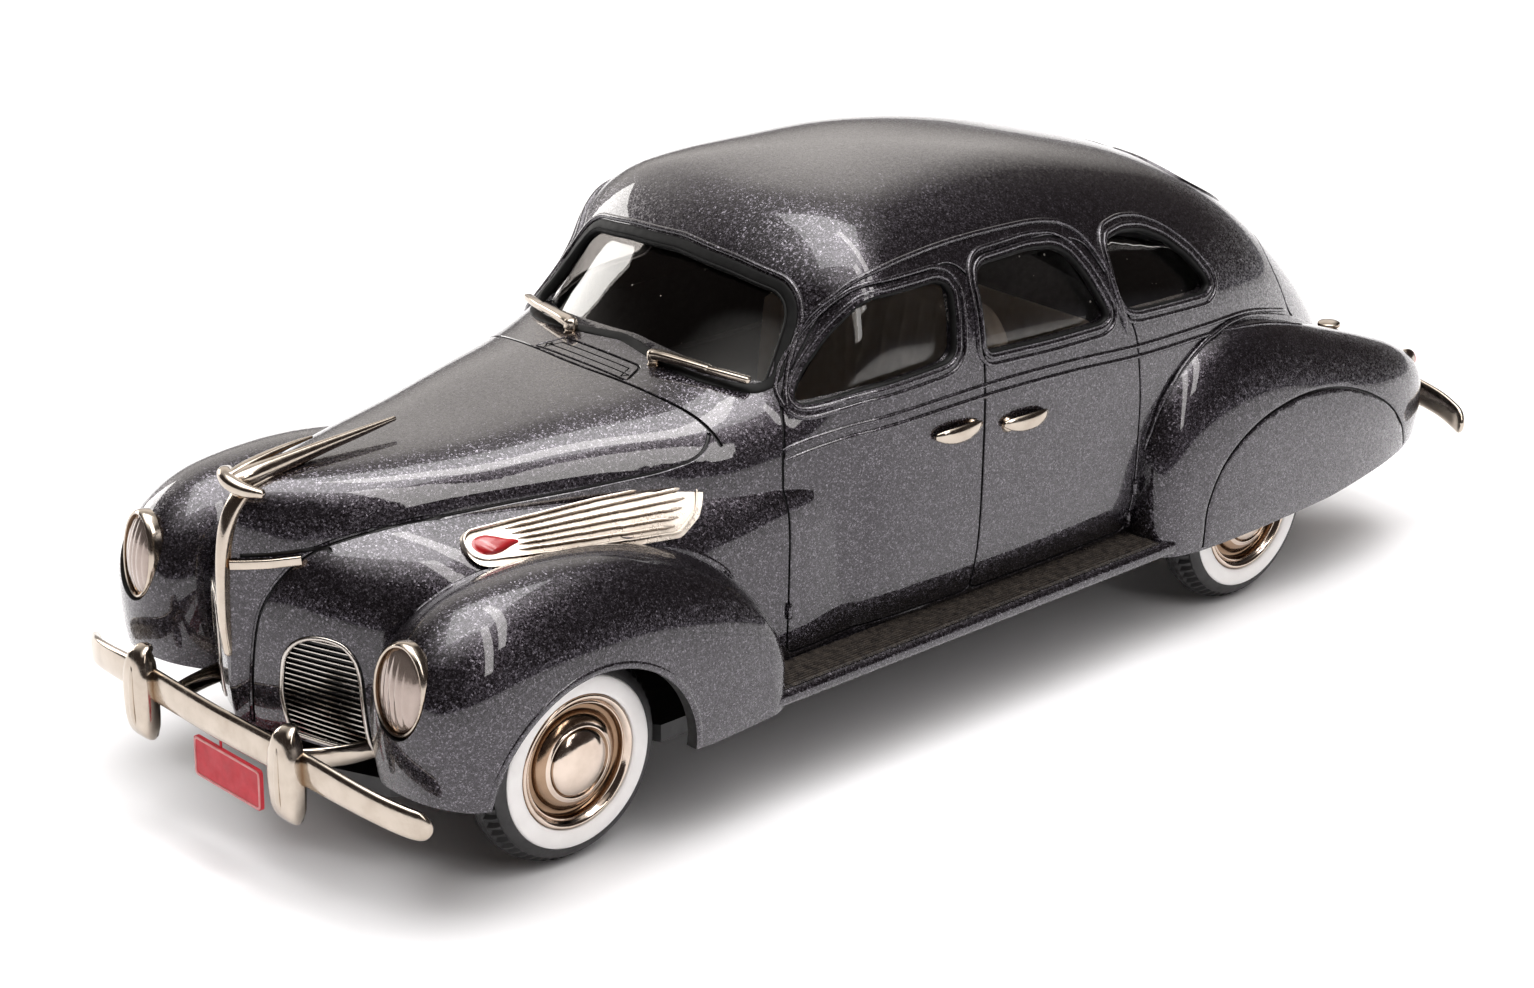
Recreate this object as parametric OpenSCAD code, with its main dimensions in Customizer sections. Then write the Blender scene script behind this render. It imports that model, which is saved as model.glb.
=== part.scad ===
// Collector's model car, 1:43: a streamlined four-door saloon of the late 1930s.
// Millimetres, Z up. The front of the car faces -Y and its left side +X.
// The origin is on the ground, at the middle of the car's footprint.

/* [Running gear] */
// Distance between the axles
wheelbase = 73.8; // [73:0.1:75]
// Y of the front axle
front_axle_y = -42; // [-42.5:0.1:-41.5]
// Outside radius of the tyre
tyre_r = 8.1; // [7.9:0.05:8.2]
// Width of the tyre
tyre_w = 4.2; // [3.8:0.1:4.4]
// Outside radius of the white side-wall ring
white_r = 6.6; // [6.3:0.05:6.8]
// Radius of the steel axle rod
axle_r = 0.8; // [0.6:0.05:0.9]
// Radial running clearance of the axle in its lugs
axle_gap = 0.06; // [0.03:0.01:0.1]
// X of the front tyre's outer face
front_face_x = 18.1; // [17.8:0.1:18.4]
// X of the rear tyre's outer face
rear_face_x = 19.3; // [19:0.1:19.6]

/* [Casting] */
// Wall thickness of the body casting
wall = 1; // [0.9:0.05:1.2]
// Height of the underside of the base plate
base_z = 5.6; // [5.2:0.1:5.8]
// Thickness of the base plate
base_t = 1.4; // [1.2:0.1:1.6]
// Thickness of the formed window film
glass_t = 0.35; // [0.3:0.05:0.5]
// Gap between the window film and the casting
glass_gap = 0.12; // [0.1:0.02:0.3]
// Radius of the base screws' shanks
screw_r = 0.9; // [0.8:0.1:1.1]

/* [Number plates] */
// Width of a number plate
plate_w = 8.2; // [7:0.1:9]
// Height of a number plate
plate_h = 3.2; // [2.8:0.1:3.6]

/* [Hidden] */
rear_axle_y = front_axle_y + wheelbase;
axle_z = tyre_r;
eps = 0.01;

// ---- Lofts: a table of stations along Y, each a superellipse in XZ ------------------------------
// A station is [y, x0, out, in, zm, up, down, n_up, n_down, sweep]: the section's centre (x0, zm), its
// half-widths away from and towards the car's middle, its heights above and below zm, the two
// exponents, and how far the section leans back at 10 mm from the middle.

// Nose, bonnet, cabin and tail
MAIN = [
    [-59.3, 0, 0.3, 0.3, 19, 5.0, 6.0, 2.0, 2.0, 0],
    [-58.9, 0, 0.9, 0.9, 19, 7.2, 8.5, 2.0, 2.0, 0],
    [-58.0, 0, 1.9, 1.9, 19.5, 7.9, 10, 2.1, 2.2, 0],
    [-56.0, 0, 3.6, 3.6, 20.5, 7.7, 13, 2.3, 2.6, 0],
    [-52.0, 0, 5.9, 5.9, 22, 6.5, 17, 2.7, 3, 0],
    [-46.0, 0, 7.7, 7.7, 23, 5.7, 19, 3.2, 4, 0],
    [-39.0, 0, 9.8, 9.8, 23, 6.0, 19, 3.4, 4, 0],
    [-32.0, 0, 12.3, 12.3, 22.5, 7.1, 18.5, 3.4, 4, 0],
    [-26.0, 0, 14.8, 14.8, 22, 8.1, 18, 3.2, 4, 0],
    [-22.8, 0, 16.1, 16.1, 22, 8.7, 18, 3.4, 4, 0.6],
    [-21.6, 0, 16.6, 16.6, 22, 9.5, 18, 3.8, 4, 1.2],
    [-18.4, 0, 17.4, 17.4, 22, 12.8, 18, 4.4, 4, 1.4],
    [-15.4, 0, 17.9, 17.9, 22, 16.2, 18, 4.2, 4, 1.0],
    [-12.0, 0, 18.2, 18.2, 22, 18.8, 18, 3.6, 4, 0.6],
    [-8.0, 0, 18.4, 18.4, 22, 19.9, 18, 3.15, 4, 0.2],
    [-2.0, 0, 18.6, 18.6, 22, 20.3, 18, 2.8, 4, 0],
    [6.0, 0, 18.7, 18.7, 22, 20.2, 18, 2.65, 4, 0],
    [14.0, 0, 18.6, 18.6, 22, 19.2, 18, 2.55, 4, 0],
    [22.0, 0, 18.2, 18.2, 21.8, 17.6, 18, 2.5, 4, 0],
    [30.0, 0, 17.4, 17.4, 21, 16.0, 17, 2.5, 4, 0],
    [37.0, 0, 16.1, 16.1, 19.8, 14.0, 15.5, 2.5, 4, 0],
    [43.0, 0, 14.4, 14.4, 18.2, 11.2, 13.5, 2.5, 4, 0],
    [48.5, 0, 12.2, 12.2, 16.4, 8.0, 11, 2.4, 3.5, 0],
    [52.8, 0, 9.7, 9.7, 14.4, 5.1, 8, 2.3, 3, 0],
    [55.9, 0, 6.2, 6.2, 12.8, 2.8, 4.6, 2.2, 2.5, 0],
    [57.0, 0, 0.1, 0.1, 12, 0.1, 0.1, 2, 2, 0]];
// The wider body under the bonnet's shut line, which carries the grilles
CATWALK = [
    [-58.5, 0, 0.1, 0.1, 15, 0.1, 0.1, 2, 2, 0],
    [-58.2, 0, 1.8, 1.8, 15, 4.4, 4.0, 2.2, 2.2, 0],
    [-57.3, 0, 4.2, 4.2, 15, 6.8, 6.4, 2.3, 2.4, 0],
    [-55.6, 0, 7.4, 7.4, 15, 8.8, 8.2, 2.4, 2.6, 0],
    [-53.0, 0, 10.4, 10.4, 15.3, 9.9, 10.4, 2.4, 3, 0],
    [-48.5, 0, 13.3, 13.3, 15.8, 10.2, 11.8, 2.3, 4, 0],
    [-42.0, 0, 15.1, 15.1, 16.2, 9.9, 12.2, 2.3, 5, 0],
    [-34.0, 0, 16.0, 16.0, 16.5, 9.6, 12.5, 2.6, 5, 0],
    [-26.0, 0, 16.7, 16.7, 16.8, 9.2, 12.8, 3.2, 5, 0],
    [-19.0, 0, 17.2, 17.2, 17, 8.8, 13, 4.2, 5, 0],
    [-12.0, 0, 16.8, 16.8, 17, 8.0, 13, 4.2, 5, 0]];
FRONT_FENDER = [
    [-57.0, 15.6, 0.1, 0.1, 14.5, 0.1, 0.1, 2, 2, 0],
    [-56.6, 15.6, 2.4, 2.4, 14.5, 3.0, 4.5, 2.1, 2.2, 0],
    [-55.5, 15.7, 4.0, 4.0, 14.5, 5.1, 7.5, 2.2, 2.5, 0],
    [-53.2, 15.7, 5.2, 5.2, 14.5, 7.1, 9.5, 2.2, 3, 0],
    [-50.0, 15.8, 5.7, 5.8, 14.4, 8.5, 10, 2.2, 3.2, 0],
    [-45.0, 15.9, 5.8, 6, 14.2, 9.2, 10.2, 2.2, 3.4, 0],
    [-40.0, 16, 5.7, 6, 14, 9.2, 10, 2.2, 3.6, 0],
    [-35.0, 16.1, 5.5, 6, 13.5, 8.8, 9.5, 2.2, 3.8, 0],
    [-30.5, 16.2, 5.3, 6, 13, 7.6, 9, 2.3, 4, 0],
    [-27.2, 16.3, 5.0, 6, 12.2, 6.2, 8.2, 2.4, 4, 0],
    [-25.0, 16.4, 4.6, 6, 11.2, 4.6, 7.2, 2.5, 4, 0],
    [-23.8, 16.4, 3.6, 5, 10.2, 2.8, 5, 2.4, 3, 0],
    [-23.2, 16.4, 0.1, 0.1, 9, 0.1, 0.1, 2, 2, 0]];
REAR_FENDER = [
    [17.9, 16.4, 0.1, 0.1, 12, 0.1, 0.1, 2, 2, 0],
    [18.4, 16.4, 3.4, 3, 12.5, 4.2, 6, 2.2, 3, 0],
    [20.0, 16.4, 4.5, 5, 13, 7.6, 8.8, 2.2, 3.4, 0],
    [22.8, 16.4, 4.9, 6, 13.5, 9.7, 9.6, 2.2, 3.6, 0],
    [27.0, 16.4, 5.2, 6, 13.5, 11.2, 9.8, 2.2, 3.6, 0],
    [32.0, 16.3, 5.4, 6, 13.5, 11.2, 9.8, 2.2, 3.6, 0],
    [38.0, 16.2, 5.4, 6, 13.3, 9.8, 9.6, 2.2, 3.6, 0],
    [44.0, 16.0, 5.3, 6, 13, 8.1, 9.2, 2.2, 3.6, 0],
    [49.5, 15.8, 4.9, 5.8, 12.8, 6.4, 8.2, 2.2, 3.4, 0],
    [54.0, 15.5, 4.0, 5, 12.8, 4.6, 6.6, 2.2, 3, 0],
    [57.2, 15.2, 2.4, 3.2, 12.6, 2.8, 4.2, 2.2, 2.6, 0],
    [58.4, 15, 0.1, 0.1, 12.4, 0.1, 0.1, 2, 2, 0]];
// The line along which every panel ends at the bottom, as (y, z)
BOTTOM = [[-60, 10.2], [-57, 9.8], [-53.9, 8.9], [-48, 8.2], [-32, 7.6], [-24, 7.8], [17, 7.8], [23, 7.4],
    [40, 7.9], [52, 9.1], [60, 10.4]];

function spline(a, b, c, d, t) =
    0.5 * (2 * b + (c - a) * t + (2 * a - 5 * b + 4 * c - d) * t * t + (3 * b - 3 * c + d - a) * t * t * t);
// The row outside an end: the next row mirrored through the closed end, so that the end comes out round
function beyond(r) = [r[0], r[1], -r[2], -r[3], r[4], -r[5], -r[6], r[7], r[8], r[9]];
function closed_row(r) = r[2] < 0.2;
function station(T, u) =
    let (n = len(T) - 1, i = min(floor(u), n - 1), t = u - i, b = T[i], c = T[i + 1])
    spline(i > 0 ? T[i - 1] : closed_row(b) ? beyond(c) : 2 * b - c, b, c,
        i < n - 1 ? T[i + 2] : closed_row(c) ? beyond(b) : 2 * c - b, t);
function power(v, n) = sign(v) * pow(abs(v), 2 / n);
// One point of a section shrunk inwards by d
function section_point(r, a, d) =
    let (c = cos(a), s = sin(a), n = s >= 0 ? r[7] : r[8],
        x = r[1] + max((c >= 0 ? r[2] : r[3]) - d, 0.05) * power(c, n),
        z = r[4] + max((s >= 0 ? r[5] : r[6]) - d, 0.05) * power(s, n))
    [x, r[0] + r[9] * x * x / 100, z];

// The solid of a table of stations, shrunk inwards by d, with a given number of steps per row and
// round the section
module loft(T, d = 0, steps = 2, around = 32) {
    n = (len(T) - 1) * steps;
    mid = (T[0][0] + T[len(T) - 1][0]) / 2;
    half = (T[len(T) - 1][0] - T[0][0]) / 2;
    squeeze = 1 - d / half;
    rings = [for (i = [0:n]) let (r = station(T, i / steps))
        [for (j = [0:around - 1]) let (p = section_point(r, 360 * j / around, d))
            [p[0], mid + (p[1] - mid) * squeeze, p[2]]]];
    points = [for (ring = rings) for (p = ring) p];
    sides = [for (i = [0:n - 1]) for (j = [0:around - 1])
        let (k = (j + 1) % around, a = i * around + j, b = i * around + k, c = b + around, e = a + around)
        for (f = [[a, b, c], [a, c, e]]) f];
    first = [for (j = [around - 1:-1:0]) j];
    last = [for (j = [0:around - 1]) n * around + j];
    polyhedron(points = points, faces = concat(sides, [first], [last]), convexity = 6);
}

// Hands a whole body to the mesh kernel in one piece
module in_one_piece() resize([0, 0, 0]) children();
module both_sides() {
    children();
    mirror([1, 0, 0]) children();
}
// A prism along X over an outline in (y, z)
module across(x0, x1) translate([x0, 0, 0]) rotate([90, 0, 90]) linear_extrude(x1 - x0) children();

// A bar through rows of [x, y, z, half-width, half-height], kept upright with respect to up
function unit(v) = v / norm(v);
function xyz(r) = [r[0], r[1], r[2]];
function along(P, k) = [for (i = [0:(len(P) - 1) * k])
    let (n = len(P) - 1, m = min(floor(i / k), n - 1))
    spline(P[max(m - 1, 0)], P[m], P[m + 1], P[min(m + 2, n)], i / k - m)];
module bar(rows, up = [0, 0, 1], around = 10, steps = 2) {
    P = along(rows, steps);
    n = len(P) - 1;
    rings = [for (i = [0:n])
        let (t = unit(xyz(P[min(i + 1, n)]) - xyz(P[max(i - 1, 0)])), side = unit(cross(t, up)),
            top = cross(side, t))
        [for (j = [0:around - 1])
            xyz(P[i]) + P[i][3] * cos(360 * j / around) * side + P[i][4] * sin(360 * j / around) * top]];
    points = [for (ring = rings) for (p = ring) p];
    sides = [for (i = [0:n - 1]) for (j = [0:around - 1])
        let (k = (j + 1) % around, a = i * around + j, b = i * around + k)
        for (f = [[a, b, b + around], [a, b + around, a + around]]) f];
    first = [for (j = [around - 1:-1:0]) j];
    last = [for (j = [0:around - 1]) n * around + j];
    polyhedron(points = points, faces = concat(sides, [first], [last]), convexity = 6);
}

// ---- The casting --------------------------------------------------------------------------------
WINDSCREEN = [[-13.1, 30.1], [-12.7, 29.9], [-6, 30.6], [0, 31], [6, 30.6], [12.7, 29.9], [13.1, 30.1],
    [12.7, 31.4], [11.9, 34.2], [11.3, 35.2], [10.3, 35.9], [6, 36.5], [0, 36.9], [-6, 36.5],
    [-10.3, 35.9], [-11.3, 35.2], [-11.9, 34.2], [-12.7, 31.4]];
FRONT_WINDOW = [[-18.4, 28.9], [-18.5, 29.5], [-17.4, 31.0], [-13.4, 35.0], [-12.4, 35.7], [-11.2, 36.0],
    [-4.6, 35.9], [-3.6, 35.5], [-3.3, 34.8], [-4.1, 30.5], [-4.7, 29.9], [-5.6, 29.7], [-12.9, 29.4],
        [-17.6, 28.8]];
REAR_WINDOW = [[-0.9, 30.0], [-0.5, 35.0], [-0.1, 35.7], [0.8, 36.1], [6.3, 36.1], [9.2, 35.7],
    [10.6, 34.9], [11.8, 33.2], [13.5, 29.9], [13.4, 29.2], [12.5, 28.9], [6.3, 29.1], [-0.4, 29.5]];
QUARTER_WINDOW = [[15.9, 34.9], [18.3, 35.0], [20.9, 34.5], [23.3, 33.4], [25.7, 31.5], [27.4, 29.4],
    [27.5, 28.6], [26.6, 28.2], [17.0, 29.0], [15.7, 29.5], [15.0, 31.2], [15.2, 34.2]];
// One pane of the divided rear window, in (x, z)
TAIL_WINDOW = [[0.8, 31.2], [0.8, 35.2], [1.2, 35.6], [5.6, 35.3], [7.7, 34.5], [8.3, 33.4], [7.9, 32.0],
    [6.6, 31.2], [1.2, 30.8]];
GRILLE = [[3.8, 10.3], [3.5, 13.5], [3.8, 16.3], [4.5, 17.5], [5.6, 18.2], [6.9, 18.3], [8.1, 17.9],
    [8.9, 16.8], [9.2, 15.4], [9.3, 12.5], [9.3, 9.4], [8.8, 9.1], [4.2, 10.0]];
FRONT_DOOR = [[-20.6, 9.8], [-20.5, 25.2], [-19.5, 29.0], [-14.2, 35.4], [-12.3, 36.7], [-2.6, 36.7],
    [-1.2, 35.6], [-1.3, 9.8]];
REAR_DOOR = [[-1.3, 9.8], [-1.3, 26], [-0.9, 35.5], [0.6, 36.6], [9.0, 36.4], [12.6, 35.2], [14.6, 31.4],
    [16.7, 27.4], [17.4, 21.6], [17.4, 9.8]];
SKIRT = [[23.4, 7.5], [23.6, 12.0], [26.6, 15.8], [32.0, 18.0], [38.0, 18.0], [44.0, 16.4], [49.2, 13.2],
    [51.8, 9.1]];

module running_board() translate([0, -26, 0]) rotate([-90, 0, 0])
    linear_extrude(46) polygon([[15, -9.3], [20.4, -9.3], [21, -8.9], [21, -8.1], [20.6, -7.8],
        [15, -7.8]]);
module below_panels() across(-30, 30)
    polygon(concat([[-70, -1], [-70, 10.2]], BOTTOM, [[70, 10.4], [70, -1]]));
module body_outside(steps = 2, around = 24) difference() {
    union() {
        loft(MAIN, 0, steps, around);
        loft(CATWALK, 0, steps, around - 4);
        both_sides() {
            loft(FRONT_FENDER, 0, steps, around - 6);
            loft(REAR_FENDER, 0, steps, around - 6);
            running_board();
        }
    }
    below_panels();
}
module body_inside() {
    loft(MAIN, wall, 1, 16);
    loft(CATWALK, wall, 1, 12);
    both_sides() {
        loft(FRONT_FENDER, wall, 1, 12);
        loft(REAR_FENDER, wall, 1, 12);
    }
}
// A window outline seen from the front or from behind, as a prism along Y
module lengthways(y0, y1) translate([0, y1, 0]) rotate([90, 0, 0]) linear_extrude(y1 - y0) children();
module window_cuts() {
    lengthways(-30, -10) polygon(WINDSCREEN);
    both_sides() {
        across(12.4, 25) polygon(FRONT_WINDOW);
        across(12.4, 25) polygon(REAR_WINDOW);
        across(12.4, 25) polygon(QUARTER_WINDOW);
        lengthways(15, 60) polygon(TAIL_WINDOW);
    }
}
// The visible gap round a panel, as a closed line in (y, z)
module shut_line(outline, w = 0.22) difference() {
    offset(delta = w / 2) polygon(outline);
    offset(delta = -w / 2) polygon(outline);
}
module shut_lines() {
    difference() {
        both_sides() across(12, 25) {
            shut_line(FRONT_DOOR);
            shut_line(REAR_DOOR);
        }
        loft(MAIN, 0.25, 2, 24);
    }
    both_sides() difference() {
        across(17, 25) shut_line(SKIRT);
        loft(REAR_FENDER, 0.25, 2, 18);
    }
}
POSTS = [-50, 44];
post_r = 2.2;
module body_shell() color("dimgray") in_one_piece() {
    difference() {
        body_outside();
        difference() {
            body_inside();
            both_sides() headlamp() thick(0.2, 1.4) oval(-0.3);
        }
        window_cuts();
        both_sides() {
            across(15, 30) translate([-43, 7.9]) scale([9.3, 8.7]) circle(1, $fn = 40);
            lengthways(-62, -50) polygon(GRILLE);
        }
        shut_lines();
        both_sides() headlamp() thick(-3, 0.42) oval(-0.03);
    }
    intersection() {
        for (y = POSTS) translate([0, y, base_z + base_t]) difference() {
            cylinder(r = post_r, h = 40, $fn = 24);
            translate([0, 0, -eps]) cylinder(r = screw_r, h = 8, $fn = 24);
        }
        loft(MAIN, wall / 2, 1, 20);
    }
}

// ---- Base ---------------------------------------------------------------------------------------
lug_x = 9;
lug_t = 3;
base_top = base_z + base_t;
BASE = [[5, -54.5], [9.5, -52.5], [10.4, -51], [13, -50.4], [13, -33.6], [15.6, -32], [15.6, 22],
    [13.6, 23.4], [13.6, 40.2], [12.4, 44], [10, 49], [6, 52.6]];
module lug(y) translate([0, y, 0]) both_sides() translate([lug_x - lug_t / 2, 0, 0]) difference() {
    translate([0, -1.9, base_top - 0.2]) cube([lug_t, 3.8, axle_z + axle_r + 1.1 - base_top + 0.2]);
    translate([-1, 0, axle_z]) rotate([0, 90, 0]) cylinder(r = axle_r + axle_gap, h = lug_t + 2, $fn = 32);
}
module base_plate() color("black") {
    difference() {
        translate([0, 0, base_z]) linear_extrude(base_t)
            polygon(concat(BASE, [for (i = [len(BASE) - 1:-1:0]) [-BASE[i][0], BASE[i][1]]]));
        for (y = POSTS) translate([0, y, base_z - 1]) {
            cylinder(r = screw_r + 0.1, h = 4, $fn = 24);
            cylinder(r = 1.9, h = 1.6, $fn = 24);
        }
        for (y = [front_axle_y, rear_axle_y]) translate([-lug_x - 4, y - 1.4, base_top - 0.35])
            cube([2 * lug_x + 8, 2.8, 1]);
    }
    for (y = [front_axle_y, rear_axle_y]) lug(y);
}
module base_screws() color("silver") for (y = POSTS) translate([0, y, base_z + 0.05]) difference() {
    union() {
        cylinder(r = 1.75, h = 0.55, $fn = 24);
        cylinder(r = screw_r - 0.02, h = 7, $fn = 24);
    }
    translate([-2, -0.2, -0.1]) cube([4, 0.4, 0.35]);
}

// ---- Running gear: each wheel part is drawn with its outer face at z = 0 and put on its axle ----
module on_axle(side, face_x, y) translate([side * face_x, y, axle_z]) rotate([0, side * 90, 0]) children();
TYRE = [[5.2, -0.47], [white_r + 0.02, -0.47], [white_r + 0.02, -0.16], [7.1, -0.32], [7.7, -0.8],
    [8.0, -1.4], [tyre_r, -2.1], [8.0, -2.8], [7.7, -3.4], [7.1, 0.3 - tyre_w], [6.2, -tyre_w],
    [5.3, 0.2 - tyre_w], [5.2, -3.4]];
module tyre() color("black") rotate_extrude($fn = 72) polygon(TYRE);
module whitewall() color("white") rotate_extrude($fn = 72)
    polygon([[5.2, -0.45], [white_r, -0.45], [white_r, -0.14], [6.2, -0.02], [5.7, 0], [5.2, -0.15]]);
DISC = [[0, 0.55], [0.9, 0.46], [1.6, 0.22], [2.1, -0.15], [2.3, -0.5], [2.6, -0.62], [3.2, -0.5],
    [3.9, -0.75], [4.4, -0.95], [4.7, -0.6], [4.9, -0.12], [5.05, -0.05], [5.17, -0.2], [5.17, -3.4],
    [4.8, -3.4], [4.8, -1.5], [1.7, -1.6], [1.7, -3.7], [axle_r + eps, -3.7], [axle_r + eps, -1.3],
    [0, -1.3]];
module wheel_disc() color("silver") rotate_extrude($fn = 72) polygon(DISC);
module axle(face_x, y) color("silver") translate([1.35 - face_x, y, axle_z]) rotate([0, 90, 0])
    cylinder(r = axle_r, h = 2 * face_x - 2.7, $fn = 32);
module front_axle() axle(front_face_x, front_axle_y);
module rear_axle() axle(rear_face_x, rear_axle_y);
module tyre_front_left() on_axle(1, front_face_x, front_axle_y) tyre();
module tyre_front_right() on_axle(-1, front_face_x, front_axle_y) tyre();
module tyre_rear_left() on_axle(1, rear_face_x, rear_axle_y) tyre();
module tyre_rear_right() on_axle(-1, rear_face_x, rear_axle_y) tyre();
module whitewall_front_left() on_axle(1, front_face_x, front_axle_y) whitewall();
module whitewall_front_right() on_axle(-1, front_face_x, front_axle_y) whitewall();
module whitewall_rear_left() on_axle(1, rear_face_x, rear_axle_y) whitewall();
module whitewall_rear_right() on_axle(-1, rear_face_x, rear_axle_y) whitewall();
module wheel_disc_front_left() on_axle(1, front_face_x, front_axle_y) wheel_disc();
module wheel_disc_front_right() on_axle(-1, front_face_x, front_axle_y) wheel_disc();
module wheel_disc_rear_left() on_axle(1, rear_face_x, rear_axle_y) wheel_disc();
module wheel_disc_rear_right() on_axle(-1, rear_face_x, rear_axle_y) wheel_disc();

// ---- Interior -----------------------------------------------------------------------------------
floor_z = 8.2;
tub_w = 14.25;
module interior_tub() color("tan") {
    translate([-tub_w, -22, base_top + 0.02]) cube([2 * tub_w, 44.5, floor_z - base_top]);
    both_sides() translate([tub_w - 1, -22, floor_z]) cube([1, 44.5, 14]);
    for (y = [-22, 21.5]) translate([-tub_w, y, floor_z]) cube([2 * tub_w, 1, 14]);
}
// A bench: the profile of its side in (y, z)
module bench(y, w, back_z, lean) across(-w, w) translate([y, floor_z + 0.05])
    polygon([[-6.6, 0], [-6.9, 5], [-6.4, 6.4],
    [0, 5.4], [1.4 + lean, back_z - floor_z - 1.4], [2.4 + lean, back_z - floor_z],
    [3.6 + lean, back_z - floor_z - 1], [3.4, 0]]);
module front_seat() color("beige") bench(3.6, 12.8, 29.6, 1.6);
module rear_seat() color("beige") bench(17.6, 12.8, 25.5, 0);
module dashboard() color("tan") across(-13.2, 13.2)
    polygon([[-20.8, 17], [-20.8, 25.6], [-19.6, 26.6], [-17.6, 25.9], [-17.2, 24.2], [-18.4, 20],
        [-18.6, 17]]);
column_x = 6.6;
column_tip = [column_x, -12.6, 23.6];
module steering_column() color("tan")
    bar([[column_x, -16.9, 20.6, 0.4, 0.4], [column_tip[0], column_tip[1], column_tip[2], 0.4, 0.4]],
        steps = 1);
module steering_wheel() color("black") translate(column_tip) rotate([-55, 0, 0]) {
    rotate_extrude($fn = 48) translate([3.1, 0]) circle(0.3, $fn = 16);
    translate([0, 0, 0.05]) cylinder(r = 0.9, h = 0.5, $fn = 24);
    for (a = [90, 210, 330]) rotate([0, 0, a]) translate([0.6, -0.2, 0.1]) cube([2.3, 0.4, 0.3]);
}

// ---- Glazing: films formed to the inside of the casting -----------------------------------------
module film() difference() {
    loft(MAIN, wall + glass_gap, 1, 16);
    loft(MAIN, wall + glass_gap + glass_t, 1, 16);
}
SIDE_FILM = [[-18.9, 27.4], [-18.9, 29.2], [-13.2, 36.4], [-11.5, 37.2], [12, 37], [19, 35.8],
    [24.5, 33.6], [28.2, 29], [28, 27.4]];
module windscreen() color("lightgray", 0.5) in_one_piece() intersection() {
    film();
    lengthways(-24, -12) offset(delta = 0.7) polygon(WINDSCREEN);
}
module side_glazing_left() color("lightgray", 0.5) in_one_piece() intersection() {
    film();
    across(13.9, 20) polygon(SIDE_FILM);
}
module side_glazing_right() color("lightgray", 0.5) in_one_piece() intersection() {
    film();
    across(-20, -13.9) polygon(SIDE_FILM);
}
module rear_window() color("lightgray", 0.5) in_one_piece() intersection() {
    film();
    lengthways(24, 45) hull() both_sides() offset(delta = 0.9) polygon(TAIL_WINDOW);
}

// ---- Bumpers and plates -------------------------------------------------------------------------
BLADE = [[-20.6, 3.7, -1.95, 0.25, 0.7], [-19.6, 2.7, -1.6, 0.42, 1.05], [-16, 1.2, -0.8, 0.45, 1.15],
    [-9, 0.35, -0.1, 0.5, 1.3], [0, 0, 0, 0.5, 1.3], [9, 0.35, -0.1, 0.5, 1.3], [16, 1.2, -0.8, 0.45, 1.15],
    [19.6, 2.7, -1.6, 0.42, 1.05], [20.6, 3.7, -1.95, 0.25, 0.7]];
function moved(P, y, z, turn = 1, k = 1) = [for (r = P) [r[0] * k, y + turn * r[1], z + r[2], r[3], r[4]]];
overrider_x = 9;
module blade(y, z, turn, k) bar(moved(BLADE, y, z, turn, k), steps = 2, around = 12);
module overrider(y, turn, rows) translate([0, y, 0]) hull() for (r = rows)
    translate([0, turn * r[1], r[0]]) scale([1, 0.85 / r[2], 0.6]) sphere(r[2], $fn = 12);
FRONT_OVERRIDER = [[7.2, 0.4, 0.85], [8.6, 0, 1.2], [11.3, 0, 1.2], [13.0, 0.4, 0.7]];
REAR_OVERRIDER = [[6.0, 0.4, 0.85], [7.4, 0, 1.2], [10.9, 0, 1.2], [12.6, 0.4, 0.7]];
// The gap left round a blade where another piece clips over it
module blade_room(y, z, turn, k)
    bar([for (r = moved(BLADE, y, z, turn, k)) [r[0], r[1], r[2], r[3] + 0.03, r[4] + 0.03]],
    steps = 2, around = 12);
front_blade_y = -60.75;
rear_blade_y = 60.75;
blade_z = 10.9;
rear_blade_z = 11.7;
rear_wrap = -0.55;
module front_bumper() color("silver") blade(front_blade_y, blade_z, 1, 1);
module rear_bumper() color("silver") blade(rear_blade_y, rear_blade_z, rear_wrap, 1.04);
module front_overriders() color("silver") in_one_piece()
    both_sides() translate([overrider_x, 0, 0]) difference() {
    overrider(front_blade_y - 0.5, 1, FRONT_OVERRIDER);
    translate([-overrider_x, 0, 0]) blade_room(front_blade_y, blade_z, 1, 1);
}
module rear_overriders() color("silver") in_one_piece()
    both_sides() translate([overrider_x, 0, 0]) difference() {
    overrider(rear_blade_y + 0.5, -1, REAR_OVERRIDER);
    translate([-overrider_x, 0, 0]) blade_room(rear_blade_y, rear_blade_z, rear_wrap, 1.04);
}
module front_bumper_irons() color("silver") in_one_piece() both_sides() difference() {
    bar([[6.6, -59.9, 10.2, 0.35, 0.7], [7.6, -58.4, 9.9, 0.35, 0.7], [8.6, -55.6, 9.6, 0.35, 0.7],
        [8.9, -53.4, 9.4, 0.35, 0.7]]);
    blade_room(front_blade_y, blade_z, 1, 1);
    body_outside();
    loft(CATWALK, -0.16, 2, 20);
}
module rear_bumper_irons() color("silver") in_one_piece() both_sides() difference() {
    bar([[7, 60.1, 11.0, 0.35, 0.7], [7.3, 58.4, 11.2, 0.35, 0.7], [7.4, 56, 11.7, 0.35, 0.7],
        [7.4, 54, 11.7, 0.35, 0.7]]);
    blade_room(rear_blade_y, rear_blade_z, rear_wrap, 1.04);
    body_outside();
}
module number_plate() {
    rotate([90, 0, 0]) linear_extrude(0.4, center = true) offset(0.4, $fn = 16)
        square([plate_w - 0.8, plate_h - 0.8], center = true);
    translate([-1, 0.05, plate_h / 2 - 0.2]) cube([2, 0.2, 2]);
}
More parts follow.
